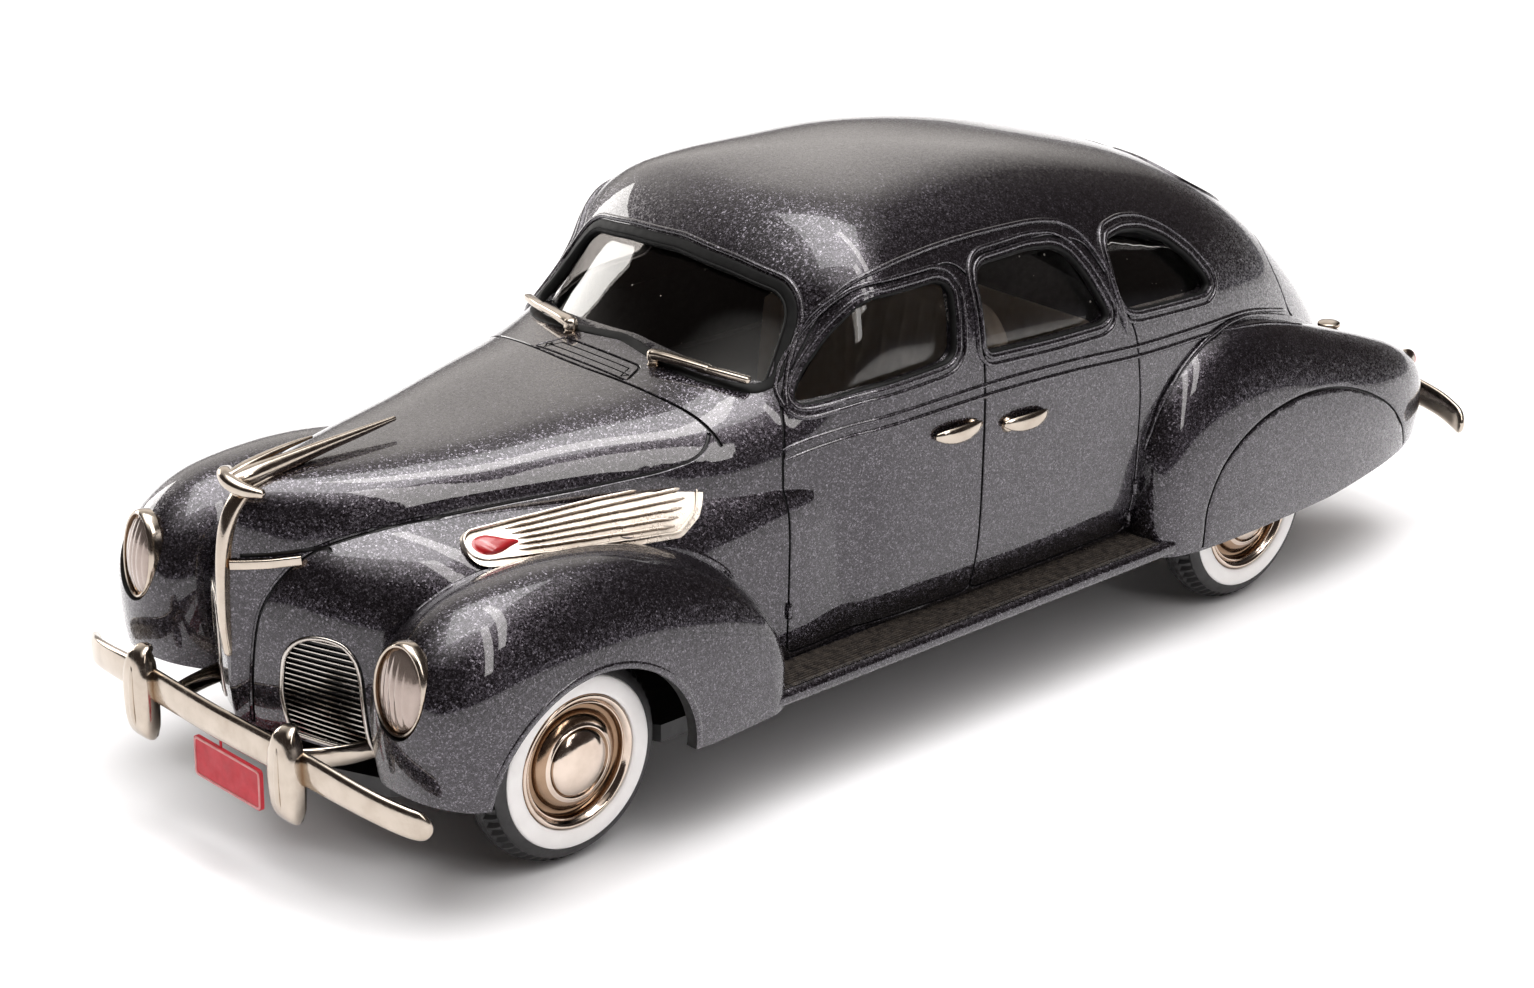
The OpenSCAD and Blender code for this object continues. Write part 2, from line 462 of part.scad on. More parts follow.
module front_number_plate() color("firebrick") in_one_piece() difference() {
    translate([0.4, front_blade_y + 0.75, 6.7]) number_plate();
    blade_room(front_blade_y, blade_z, 1, 1);
}
module rear_number_plate() color("firebrick") in_one_piece() difference() {
    translate([0, rear_blade_y - 0.75, 7.5]) rotate([0, 0, 180]) number_plate();
    blade_room(rear_blade_y, rear_blade_z, rear_wrap, 1.04);
}

// ---- Lamps --------------------------------------------------------------------------------------
lamp_w = 2.45;
lamp_h = 3.5;
// Everything in a headlamp is drawn round the origin, facing -Y
module headlamp() translate([15.85, -55.9, 17.4]) rotate([-6, 0, 9]) children();
module oval(d = 0) scale([lamp_w - d, lamp_h - d]) circle(1, $fn = 30);
module thick(y0, y1) translate([0, y1, 0]) rotate([90, 0, 0]) linear_extrude(y1 - y0) children();
module headlamp_bowl_left() color("silver") in_one_piece() headlamp() thick(-0.1, 0.35) oval(0.42);
module headlamp_lens_left() color("lightgray", 0.6) in_one_piece() headlamp() intersection() {
    translate([0, 1.6, 0]) scale([2.9, 2.55, 4.1]) sphere(1, $fn = 24);
    thick(-1.4, -0.14) oval(0.42);
}
module headlamp_rim_left() color("silver") in_one_piece() headlamp() difference() {
    thick(-0.62, 0.4) oval(0);
    thick(-2, 2) oval(0.38);
}
module headlamp_bowl_right() mirror([1, 0, 0]) headlamp_bowl_left();
module headlamp_lens_right() mirror([1, 0, 0]) headlamp_lens_left();
module headlamp_rim_right() mirror([1, 0, 0]) headlamp_rim_left();
module tail_lamp_left() color("firebrick") in_one_piece() difference() {
    translate([16.3, 56.3, 15.1]) scale([0.75, 1.5, 1.2]) sphere(1, $fn = 16);
    loft(REAR_FENDER, -0.03, 2, 18);
}
module tail_lamp_right() mirror([1, 0, 0]) tail_lamp_left();

// ---- Bright trim --------------------------------------------------------------------------------
module grille_left() color("silver") in_one_piece() {
    intersection() {
        difference() {
            loft(CATWALK, -0.12, 2, 20);
            loft(CATWALK, 0.75, 1, 20);
        }
        lengthways(-62, -50) difference() {
            offset(delta = -0.04) polygon(GRILLE);
            offset(delta = -0.5) polygon(GRILLE);
        }
    }
    intersection() {
        difference() {
            loft(CATWALK, 0.12, 2, 20);
            loft(CATWALK, 0.75, 1, 20);
        }
        // The bars fan out, so that the lowest ones drop most towards the wing
        lengthways(-62, -50) intersection() {
            offset(delta = -0.45) polygon(GRILLE);
            for (z = [10.3:0.62:19]) polygon([[3, z], [10, z - 1.8 + (z - 10) * 0.12],
                [10, z - 1.47 + (z - 10) * 0.12],
                [3, z + 0.33]]);
        }
    }
    intersection() {
        difference() {
            loft(CATWALK, 0.6, 1, 20);
            loft(CATWALK, 0.8, 1, 20);
        }
        lengthways(-62, -50) offset(delta = -0.4) polygon(GRILLE);
    }
}
module grille_right() mirror([1, 0, 0]) grille_left();
module prow_bar(d = 0) bar([[0, -57.3, 27.6 + d, 0.75 + d, 0.5 + d], [0, -58.8, 25.4, 0.6 + d, 0.5 + d],
    [0, -59.35, 22, 0.5, 0.4], [0, -59.4, 18, 0.45, 0.35], [0, -59.2, 15.6, 0.35, 0.3]], up = [0, -1, 0.1]);
module prow_strip() color("silver") in_one_piece() difference() {
    prow_bar();
    loft(MAIN, -0.02, 2, 24);
}
module nose_bars() color("silver") in_one_piece() difference() {
    both_sides() bar([[0.9, -58.9, 22.9, 0.35, 0.3], [2.4, -57.5, 23.0, 0.35, 0.3],
        [3.4, -56.35, 23.15, 0.35, 0.3],
        [4.2, -55.4, 23.25, 0.3, 0.25]]);
    loft(MAIN, -0.02, 2, 24);
    loft(CATWALK, -0.02, 2, 20);
}
module bonnet_ornament() color("silver") in_one_piece() difference() {
    union() {
        bar([[0, -59.1, 28.5, 0.2, 0.2], [0, -58.5, 28.8, 0.75, 0.8], [0, -56.9, 29, 0.7, 0.8],
            [0, -53.5, 29.3, 0.45, 0.5], [0, -48, 29.6, 0.35, 0.35], [0, -43.9, 29.9, 0.08, 0.08]]);
        both_sides() bar([[0.2, -57.8, 28.9, 0.8, 0.25], [1.4, -56, 29, 0.7, 0.2],
            [2.3, -53.8, 29.1, 0.5, 0.14],
            [2.7, -51.4, 29.2, 0.1, 0.06]]);
        translate([0, -57.2, 27.6]) cylinder(r = 0.6, h = 1.4, $fn = 24);
    }
    loft(MAIN, -0.02, 2, 24);
    prow_bar(0.04);
}
// The outline of the fluted trim on the bonnet's side, in (y, z)
TRIM = [[-46.4, 23.3], [-46.1, 23.9], [-45.3, 24.2], [-34.3, 24.4], [-26.4, 24.4], [-28.2, 22.6],
    [-30.2, 21.6], [-40, 22.1], [-45.3, 22.4], [-46.1, 22.7]];
module on_flank(out, side) intersection() {
    loft(CATWALK, -out, 2, 20);
    across(side > 0 ? 6 : -20, side > 0 ? 20 : -6) children();
}
BADGE = [[-45.6, 23.35], [-45, 23.75], [-43.8, 23.7], [-42, 23.1], [-43.8, 22.7], [-45, 22.85]];
module bonnet_trim(side) color("silver") in_one_piece() difference() {
    union() {
        on_flank(0.35, side) polygon(TRIM);
        on_flank(0.6, side) intersection() {
            offset(delta = -0.2) polygon(TRIM);
            for (k = [0:3]) polygon([[-47, 23.9 - k * 0.42], [-26, 24.1 - k * 0.6], [-26, 23.8 - k * 0.6],
                [-47, 23.7 - k * 0.42]]);
        }
    }
    loft(CATWALK, -0.03, 2, 20);
    both_sides() loft(FRONT_FENDER, -0.03, 2, 18);
    loft(MAIN, -0.03, 2, 24);
}
module bonnet_trim_left() bonnet_trim(1);
module bonnet_trim_right() bonnet_trim(-1);
module trim_badge(side) color("firebrick") in_one_piece() difference() {
    on_flank(0.9, side) polygon(BADGE);
    loft(CATWALK, -0.62, 2, 20);
}
module trim_badge_left() trim_badge(1);
module trim_badge_right() trim_badge(-1);
module wiper_left() color("silver") in_one_piece() difference() {
    union() {
        bar([[4.8, -23.3, 31.1, 0.5, 0.32], [8.6, -22.45, 31.1, 0.42, 0.28],
            [12.7, -21.0, 30.75, 0.32, 0.26]]);
        translate([4.85, -23.25, 29.6]) cylinder(r = 0.55, h = 1.9, $fn = 24);
    }
    loft(MAIN, -0.03, 2, 24);
}
module wiper_right() mirror([1, 0, 0]) wiper_left();
module door_handle(y, z, turn) difference() {
    union() {
        bar([[18.9, y - turn * 2.6, z + 0.2, 0.25, 0.3], [19.25, y - turn * 1.5, z + 0.1, 0.3, 0.38],
            [19.3, y, z, 0.35, 0.45], [19.0, y + turn * 1.7, z, 0.4, 0.6],
            [18.8, y + turn * 2.4, z, 0.15, 0.3]]);
        translate([18, y + turn * 1.6, z]) rotate([0, 90, 0]) cylinder(r = 0.6, h = 1.1, $fn = 24);
    }
    loft(MAIN, -0.03, 2, 24);
}
module door_handles_left() color("silver") in_one_piece() {
    door_handle(-4.2, 24.2, 1);
    door_handle(2.9, 23.4, -1);
}
module door_handles_right() mirror([1, 0, 0]) door_handles_left();
module fuel_cap() color("silver") in_one_piece() difference() {
    translate([13.2, 48.9, 17]) {
        cylinder(r = 0.75, h = 2.7, $fn = 24);
        translate([0, 0, 2.3]) cylinder(r = 1, h = 0.5, $fn = 24);
    }
    loft(MAIN, -0.03, 2, 24);
    loft(REAR_FENDER, -0.03, 2, 18);
}
module boot_handle() color("silver") in_one_piece() difference() {
    bar([[0, 53.6, 19.9, 0.3, 0.3], [0, 54.3, 19.6, 0.35, 0.35], [0, 56.2, 17.2, 0.35, 0.35],
        [0, 56.4, 15.8, 0.2, 0.2]],
        up = [0, 1, 0.6]);
    loft(MAIN, -0.03, 2, 24);
}

body_shell();
base_plate();
base_screws();
interior_tub();
front_seat();
rear_seat();
dashboard();
steering_column();
steering_wheel();
windscreen();
side_glazing_left();
side_glazing_right();
rear_window();
front_axle();
rear_axle();
tyre_front_left();
tyre_front_right();
tyre_rear_left();
tyre_rear_right();
whitewall_front_left();
whitewall_front_right();
whitewall_rear_left();
whitewall_rear_right();
wheel_disc_front_left();
wheel_disc_front_right();
wheel_disc_rear_left();
wheel_disc_rear_right();
front_bumper();
front_bumper_irons();
front_overriders();
front_number_plate();
rear_bumper();
rear_bumper_irons();
rear_overriders();
rear_number_plate();
headlamp_bowl_left();
headlamp_bowl_right();
headlamp_lens_left();
headlamp_lens_right();
headlamp_rim_left();
headlamp_rim_right();
grille_left();
grille_right();
prow_strip();
nose_bars();
bonnet_ornament();
bonnet_trim_left();
bonnet_trim_right();
trim_badge_left();
trim_badge_right();
wiper_left();
wiper_right();
door_handles_left();
door_handles_right();
tail_lamp_left();
tail_lamp_right();
fuel_cap();
boot_handle();
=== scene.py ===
import bpy
import math
import numpy as np
from mathutils import Matrix, Vector
from mathutils.bvhtree import BVHTree


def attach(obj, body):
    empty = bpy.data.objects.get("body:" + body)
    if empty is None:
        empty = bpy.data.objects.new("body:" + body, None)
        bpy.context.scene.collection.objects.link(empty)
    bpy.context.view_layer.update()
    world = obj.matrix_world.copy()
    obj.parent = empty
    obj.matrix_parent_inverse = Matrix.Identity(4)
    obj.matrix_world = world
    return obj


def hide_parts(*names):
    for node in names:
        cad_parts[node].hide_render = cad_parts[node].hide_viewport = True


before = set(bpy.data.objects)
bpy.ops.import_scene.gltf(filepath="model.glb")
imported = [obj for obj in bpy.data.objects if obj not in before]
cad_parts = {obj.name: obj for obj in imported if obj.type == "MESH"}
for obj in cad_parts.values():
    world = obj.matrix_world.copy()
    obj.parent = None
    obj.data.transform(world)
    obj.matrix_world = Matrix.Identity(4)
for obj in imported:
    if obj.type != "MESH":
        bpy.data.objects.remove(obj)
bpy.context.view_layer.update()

# Everything is modelled in millimetres in the CAD's frame and scaled to metres when its object is made.
MM = 0.001


# ---- Materials


def nodes_of(name):
    m = bpy.data.materials.new(name)
    m.use_nodes = True
    nt = m.node_tree
    b = nt.nodes["Principled BSDF"]
    return m, nt, b


def add(nt, kind, **settings):
    n = nt.nodes.new(kind)
    for k, v in settings.items():
        if k.startswith("in_"):
            key = k[3:]
            n.inputs[int(key) if key.isdigit() else key].default_value = v
        else:
            setattr(n, k, v)
    return n


def ramp(nt, source, stops):
    r = nt.nodes.new("ShaderNodeValToRGB")
    while len(r.color_ramp.elements) < len(stops):
        r.color_ramp.elements.new(0.5)
    for e, (pos, col) in zip(r.color_ramp.elements, stops):
        e.position = pos
        e.color = (*col, 1) if len(col) == 3 else (col[0],) * 3 + (1,)
    nt.links.new(source, r.inputs[0])
    return r.outputs[0]


def mix(nt, fac, a, b, blend="MIX"):
    m = nt.nodes.new("ShaderNodeMix")
    m.data_type = "RGBA"
    m.blend_type = blend
    for sock, v in ((0, fac), (6, a), (7, b)):
        if hasattr(v, "is_output"):
            nt.links.new(v, m.inputs[sock])
        else:
            m.inputs[sock].default_value = v if sock == 0 else (*v, 1)
    return m.outputs[2]


def math_node(nt, op, a, b=None):
    m = nt.nodes.new("ShaderNodeMath")
    m.operation = op
    for i, v in enumerate((a, b)):
        if v is None:
            continue
        if hasattr(v, "is_output"):
            nt.links.new(v, m.inputs[i])
        else:
            m.inputs[i].default_value = v
    return m.outputs[0]


def coords(nt):
    return nt.nodes.new("ShaderNodeTexCoord").outputs["Object"]


def noise(nt, scale, detail=3, rough=0.55, vec=None):
    n = add(nt, "ShaderNodeTexNoise", in_Scale=scale, in_Detail=detail, in_Roughness=rough)
    nt.links.new(vec or coords(nt), n.inputs["Vector"])
    return n.outputs["Fac"]


def bump(nt, b, height, strength, dist):
    n = add(nt, "ShaderNodeBump", in_Strength=strength, in_Distance=dist)
    nt.links.new(height, n.inputs["Height"])
    nt.links.new(n.outputs["Normal"], b.inputs["Normal"])
    return n


def paint_material():
    """Gunmetal metallic: fine flakes of random tilt under a smooth clear coat."""
    m, nt, b = nodes_of("gunmetal_metallic")
    vec = coords(nt)
    flakes = add(nt, "ShaderNodeTexVoronoi", in_Scale=8200.0)
    nt.links.new(vec, flakes.inputs["Vector"])
    fine = add(nt, "ShaderNodeTexVoronoi", in_Scale=15500.0)
    nt.links.new(vec, fine.inputs["Vector"])
    sep = nt.nodes.new("ShaderNodeSeparateColor")
    nt.links.new(flakes.outputs["Color"], sep.inputs[0])
    sep2 = nt.nodes.new("ShaderNodeSeparateColor")
    nt.links.new(fine.outputs["Color"], sep2.inputs[0])
    both = math_node(nt, "ADD", math_node(nt, "MULTIPLY", sep.outputs[0], 0.6),
                     math_node(nt, "MULTIPLY", sep2.outputs[1], 0.4))
    shade = ramp(nt, both, [(0.1, (0.0125, 0.0100, 0.0120)), (0.45, (0.0225, 0.0190, 0.0245)),
                            (0.70, (0.049, 0.044, 0.053)), (0.90, (0.17, 0.16, 0.18))])
    broad = ramp(nt, noise(nt, 120.0, 2, 0.5, vec), [(0.35, (0.94, 0.92, 0.94)), (0.65, (1.05, 1.04, 1.04))])
    nt.links.new(mix(nt, 1.0, shade, broad, "MULTIPLY"), b.inputs["Base Color"])
    geo = nt.nodes.new("ShaderNodeNewGeometry")
    tilt = add(nt, "ShaderNodeVectorMath", operation="SUBTRACT")
    nt.links.new(flakes.outputs["Color"], tilt.inputs[0])
    tilt.inputs[1].default_value = (0.5, 0.5, 0.5)
    scale = add(nt, "ShaderNodeVectorMath", operation="SCALE")
    scale.inputs["Scale"].default_value = 0.34
    nt.links.new(tilt.outputs[0], scale.inputs[0])
    total = add(nt, "ShaderNodeVectorMath", operation="ADD")
    nt.links.new(geo.outputs["Normal"], total.inputs[0])
    nt.links.new(scale.outputs[0], total.inputs[1])
    norm = add(nt, "ShaderNodeVectorMath", operation="NORMALIZE")
    nt.links.new(total.outputs[0], norm.inputs[0])
    nt.links.new(norm.outputs[0], b.inputs["Normal"])
    b.inputs["Metallic"].default_value = 0.85
    nt.links.new(ramp(nt, sep2.outputs[0], [(0.0, (0.21,)), (1.0, (0.36,))]), b.inputs["Roughness"])
    b.inputs["Coat Weight"].default_value = 1.0
    b.inputs["Coat Roughness"].default_value = 0.03
    b.inputs["Coat IOR"].default_value = 1.5
    orange = add(nt, "ShaderNodeBump", in_Strength=0.12, in_Distance=0.00003)
    nt.links.new(noise(nt, 900.0, 2, 0.5, vec), orange.inputs["Height"])
    nt.links.new(orange.outputs["Normal"], b.inputs["Coat Normal"])
    return m


def nickel_material(name="champagne_nickel", base=(0.49, 0.435, 0.375), rough=(0.09, 0.24),
                    recess_shade=(0.33, 0.22, 0.13)):
    """Warm bright plating, with painted shade darkening its recesses and a fine cast grain."""
    m, nt, b = nodes_of(name)
    vec = coords(nt)
    # painted shade: the occlusion mask turns the recesses to the darker, browner recess colour
    ao = add(nt, "ShaderNodeAmbientOcclusion", samples=6, in_Distance=0.0011)
    deep = ramp(nt, ao.outputs["AO"], [(0.35, recess_shade), (0.85, base)])
    patch = ramp(nt, noise(nt, 520.0, 4, 0.6, vec), [(0.3, (0.86, 0.83, 0.8)), (0.62, (1.04, 1.03, 1.02))])
    nt.links.new(mix(nt, 1.0, deep, patch, "MULTIPLY"), b.inputs["Base Color"])
    b.inputs["Metallic"].default_value = 1.0
    nt.links.new(ramp(nt, noise(nt, 1400.0, 3, 0.6, vec), [(0.3, (rough[0],)), (0.7, (rough[1],))]),
                 b.inputs["Roughness"])
    bump(nt, b, noise(nt, 2600.0, 3, 0.6, vec), 0.14, 0.00005)
    return m


def rubber_material():
    m, nt, b = nodes_of("tyre_rubber")
    vec = coords(nt)
    nt.links.new(ramp(nt, noise(nt, 700.0, 4, 0.6, vec), [(0.3, (0.012, 0.0115, 0.012)),
                                                          (0.7, (0.033, 0.031, 0.032))]),
                 b.inputs["Base Color"])
    nt.links.new(ramp(nt, noise(nt, 1500.0, 3, 0.6, vec), [(0.3, (0.42,)), (0.7, (0.62,))]),
                 b.inputs["Roughness"])
    bump(nt, b, noise(nt, 3800.0, 3, 0.6, vec), 0.3, 0.00006)
    return m


def plain_material(name, low, high, rough, scale=900.0, bump_by=0.15, coat=0.0, metallic=0.0):
    """A moulded or sprayed surface: two near shades in a fine mottle, with a grain."""
    m, nt, b = nodes_of(name)
    vec = coords(nt)
    nt.links.new(ramp(nt, noise(nt, scale, 4, 0.6, vec), [(0.3, low), (0.7, high)]), b.inputs["Base Color"])
    nt.links.new(ramp(nt, noise(nt, scale * 1.7, 3, 0.6, vec),
                      [(0.3, (rough * 0.85,)), (0.7, (min(rough * 1.2, 1),))]),
                 b.inputs["Roughness"])
    bump(nt, b, noise(nt, scale * 3, 3, 0.6, vec), bump_by, 0.00006)
    b.inputs["Coat Weight"].default_value = coat
    b.inputs["Metallic"].default_value = metallic
    return m


def glass_material(name, tint, rough, ior=1.46, ripple=0.0, dust=False):
    """Clear or tinted glazing; dust adds fine pale specks on it."""
    m, nt, b = nodes_of(name)
    vec = coords(nt)
    tone = ramp(nt, noise(nt, 240.0, 3, 0.6, vec), [(0.3, tuple(c * 0.93 for c in tint)), (0.7, tint)])
    nt.links.new(ramp(nt, noise(nt, 2600.0, 5, 0.75, vec), [(0.55, (rough,)), (0.85, (rough * 2 + 0.01,))]),
                 b.inputs["Roughness"])
    b.inputs["IOR"].default_value = ior
    if dust:
        spots = add(nt, "ShaderNodeTexVoronoi", in_Scale=1150.0)
        nt.links.new(vec, spots.inputs["Vector"])
        sep = nt.nodes.new("ShaderNodeSeparateColor")
        nt.links.new(spots.outputs["Color"], sep.inputs[0])
        reach = math_node(nt, "MULTIPLY", math_node(nt, "POWER", sep.outputs[0], 7.0), 0.11)
        speck = math_node(nt, "LESS_THAN", spots.outputs["Distance"], reach)
        nt.links.new(mix(nt, speck, tone, (0.5, 0.47, 0.43)), b.inputs["Base Color"])
        nt.links.new(math_node(nt, "SUBTRACT", 1.0, math_node(nt, "MULTIPLY", speck, 0.8)),
                     b.inputs["Transmission Weight"])
    else:
        nt.links.new(tone, b.inputs["Base Color"])
        b.inputs["Transmission Weight"].default_value = 1.0
    if ripple:
        bump(nt, b, noise(nt, 160.0, 2, 0.5, vec), ripple, 0.0002)
    return m


PAINT = paint_material()
# each plating's last colour is the painted shade laid into its recesses
NICKEL = nickel_material()
HUB = nickel_material("hub_nickel", (0.64, 0.545, 0.47), (0.07, 0.18), (0.26, 0.14, 0.06))
# a darker brown copy of the hub plating: painted warm reflection and shade for the disc's recessed rings
HUB_DISH = nickel_material("hub_dish_painted_reflection", (0.34, 0.235, 0.16), (0.12, 0.24), (0.10, 0.05, 0.02))
GRILLE_METAL = nickel_material("grille_nickel", (0.52, 0.49, 0.46), (0.16, 0.3), (0.03, 0.027, 0.025))
TRIM_METAL = nickel_material("flank_nickel", (0.86, 0.79, 0.71), (0.22, 0.38), (0.10, 0.062, 0.036))
TRIM_METAL.node_tree.nodes["Principled BSDF"].inputs["Metallic"].default_value = 0.78
STEEL = plain_material("axle_steel", (0.42, 0.42, 0.43), (0.58, 0.57, 0.56), 0.32, metallic=1.0)
RUBBER = rubber_material()
WHITE = plain_material("white_rubber", (0.88, 0.855, 0.84), (0.94, 0.92, 0.905), 0.42, 500.0, 0.1)
DARK = plain_material("shut_line_black", (0.005, 0.005, 0.006), (0.010, 0.009, 0.010), 0.4)
LINING = plain_material("inside_of_casting", (0.005, 0.005, 0.006), (0.010, 0.010, 0.010), 0.65)
BASE_BLACK = plain_material("base_black", (0.012, 0.012, 0.013), (0.025, 0.024, 0.024), 0.45, 600.0, 0.25)
MAT = plain_material("running_board_mat", (0.012, 0.010, 0.010), (0.060, 0.050, 0.042), 0.26, 1500.0, 0.6)
GASKET = plain_material("window_gasket", (0.003, 0.003, 0.003), (0.007, 0.007, 0.007), 0.5)
GASKET.node_tree.nodes["Principled BSDF"].inputs["Specular IOR Level"].default_value = 0.15
CREAM = plain_material("seat_cream", (0.74, 0.64, 0.54), (0.84, 0.75, 0.66), 0.55, 900.0, 0.3)
BROWN = plain_material("cabin_brown", (0.008, 0.006, 0.005), (0.016, 0.012, 0.010), 0.5, 700.0, 0.3)
WHEEL_BLACK = plain_material("wheel_rim_dark", (0.02, 0.018, 0.016), (0.04, 0.035, 0.03), 0.25)
RED_PLATE = plain_material("plate_red", (0.50, 0.014, 0.028), (0.64, 0.026, 0.044), 0.55, 700.0, 0.3)
PLATE_EDGE = plain_material("plate_border", (0.62, 0.20, 0.20), (0.74, 0.34, 0.33), 0.4)
RED_ENAMEL = plain_material("badge_red", (0.36, 0.012, 0.016), (0.46, 0.02, 0.025), 0.2, 900.0, 0.05, coat=0.7)
GLAZING = glass_material("window_film", (0.60, 0.58, 0.56), 0.012, dust=True)
LAMP_GLASS = nickel_material("silvered_lamp_glass", (0.39, 0.32, 0.285), (0.12, 0.24), (0.14, 0.10, 0.08))
LAMP_GLASS.node_tree.nodes["Principled BSDF"].inputs["Metallic"].default_value = 0.72
LAMP_GLASS.node_tree.nodes["Principled BSDF"].inputs["Coat Weight"].default_value = 0.8
RED_GLASS = glass_material("tail_lamp_red", (0.62, 0.02, 0.02), 0.05)


# ---- Mesh tools


def to_mesh(verts, faces, mats=(), index=0):
    me = bpy.data.meshes.new("m")
    me.from_pydata([tuple(v) for v in np.asarray(verts, float)], [], [tuple(int(i) for i in f) for f in faces])
    for m in mats:
        me.materials.append(m)
    if index:
        me.polygons.foreach_set("material_index", [index] * len(me.polygons))
    me.update()
    return me


def piece(name, me, body, slot, mats=(), node=None, smooth=32, mirror=False, weighted=True):
    """Makes the object, in metres, with sharp edges over the given angle, and lets it ride."""
    if mats:
        me.materials.clear()
        for m in mats:
            me.materials.append(m)
    me.name = name
    co = np.empty(len(me.vertices) * 3)
    me.vertices.foreach_get("co", co)
    co *= MM
    if mirror:
        co[0::3] *= -1
        me.vertices.foreach_set("co", co)
        me.flip_normals()
    else:
        me.vertices.foreach_set("co", co)
    me.polygons.foreach_set("use_smooth", [True] * len(me.polygons))
    me.set_sharp_from_angle(angle=math.radians(smooth))
    me.update()
    o = bpy.data.objects.new(name, me)
    bpy.context.scene.collection.objects.link(o)
    if weighted:
        w = o.modifiers.new("normals", "WEIGHTED_NORMAL")
        w.keep_sharp = True
    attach(o, body)
    if node:
        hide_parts(*([node] if isinstance(node, str) else node))
    return o


def boolean(me, other, op):
    """me op other, as a new mesh; the solids are closed."""
    a = bpy.data.objects.new("a", me)
    b = bpy.data.objects.new("b", other)
    for o in (a, b):
        bpy.context.scene.collection.objects.link(o)
    mod = a.modifiers.new("bool", "BOOLEAN")
    mod.operation = op
    mod.solver = "MANIFOLD"
    mod.object = b
    deps = bpy.context.evaluated_depsgraph_get()
    out = bpy.data.meshes.new_from_object(a.evaluated_get(deps))
    for o in (a, b):
        bpy.data.objects.remove(o)
    if not len(out.polygons):
        raise RuntimeError("an empty boolean: " + op)
    return out


def join(meshes):
    V, F, M, mats, base = [], [], [], [], 0
    for me in meshes:
        V.append(points(me))
        for p in me.polygons:
            F.append([i + base for i in p.vertices])
            M.append(p.material_index)
        base += len(me.vertices)
        if len(me.materials) > len(mats):
            mats = list(me.materials)
    out = to_mesh(np.concatenate(V), F, mats)
    out.polygons.foreach_set("material_index", M)
    return out


def points(me):
    return np.array([v.co[:] for v in me.vertices])


def put(me, places):
    """Moves a mesh's points to new places."""
    for v, c in zip(me.vertices, places):
        v.co = Vector(c)
    return me


def tree_of(me):
    return BVHTree.FromPolygons([v.co[:] for v in me.vertices], [p.vertices[:] for p in me.polygons])


def carve(me, *cutters):
    for c in cutters:
        me = boolean(me, c, "DIFFERENCE")
    return me


def mirrored(me):
    out = me.copy()
    for v in out.vertices:
        v.co.x = -v.co.x
    out.flip_normals()
    return out


def ring_faces(rows, around, closed=False, caps=True):
    F = []
    last = rows if closed else rows - 1
    for i in range(last):
        a0, b0 = i * around, ((i + 1) % rows) * around
        for j in range(around):
            k = (j + 1) % around
            F.append((a0 + j, b0 + j, b0 + k, a0 + k))
    if caps and not closed:
        F.append(tuple(range(around)))
        F.append(tuple((rows - 1) * around + j for j in reversed(range(around))))
    return F


def spline_point(a, b, c, d, t):
    """A point from b to c on the smooth line through a, b, c and d."""
    square, cube = 2 * a - 5 * b + 4 * c - d, 3 * b - 3 * c + d - a
    return 0.5 * (2 * b + (c - a) * t + square * t ** 2 + cube * t ** 3)


def signed_area(P):
    return 0.5 * np.sum(P[:, 0] * np.roll(P[:, 1], -1) - np.roll(P[:, 0], -1) * P[:, 1])


def along(P):
    """The direction of an open line at each of its points."""
    return unit(np.vstack([P[1] - P[0], P[2:] - P[:-2], P[-1] - P[-2]]))


def circle(n):
    """n angles round a full turn."""
    return np.arange(n) * 2 * math.pi / n


def catmull(P, steps, closed=False):
    """Points on a smooth line through rows of any width."""
    P = np.asarray(P, float)
    n = len(P)
    out = []
    for i in range(n if closed else n - 1):
        if closed:
            a, b, c, d = (P[(i + k) % n] for k in (-1, 0, 1, 2))
        else:
            a, b, c, d = P[max(i - 1, 0)], P[i], P[i + 1], P[min(i + 2, n - 1)]
        out += [spline_point(a, b, c, d, s / steps) for s in range(steps)]
    if not closed:
        out.append(P[-1])
    return np.array(out)


def even(P, step, closed=False):
    """The same line with its points a given distance apart."""
    P = np.asarray(P, float)
    if closed:
        P = np.vstack([P, P[:1]])
    d = np.concatenate([[0], np.cumsum(np.linalg.norm(np.diff(P[:, :3], axis=0), axis=1))])
    n = max(int(round(d[-1] / step)), 3)
    t = np.linspace(0, d[-1], n + 1)
    Q = np.stack([np.interp(t, d, P[:, k]) for k in range(P.shape[1])], 1)
    return Q[:-1] if closed else Q


def rounded(outline, radius, n=5):
    """Rounds the corners of a closed 2-D outline."""
    P = np.asarray(outline, float)
    out = []
    for i in range(len(P)):
        a, b, c = P[i - 1], P[i], P[(i + 1) % len(P)]
        u, v = a - b, c - b
        lu, lv = np.linalg.norm(u), np.linalg.norm(v)
        r = min(radius, lu * 0.45, lv * 0.45)
        p, q = b + u / lu * r, b + v / lv * r
        for t in np.linspace(0, 1, n):
            out.append((1 - t) ** 2 * p + 2 * t * (1 - t) * b + t ** 2 * q)
    return np.array(out)


def offset(outline, d):
    """A closed 2-D outline moved outwards by d."""
    P = np.asarray(outline, float)
    t = np.roll(P, -1, 0) - np.roll(P, 1, 0)
    t /= np.linalg.norm(t, axis=1)[:, None]
    n = np.stack([t[:, 1], -t[:, 0]], 1) * (1 if signed_area(P) > 0 else -1)
    return P + n * d


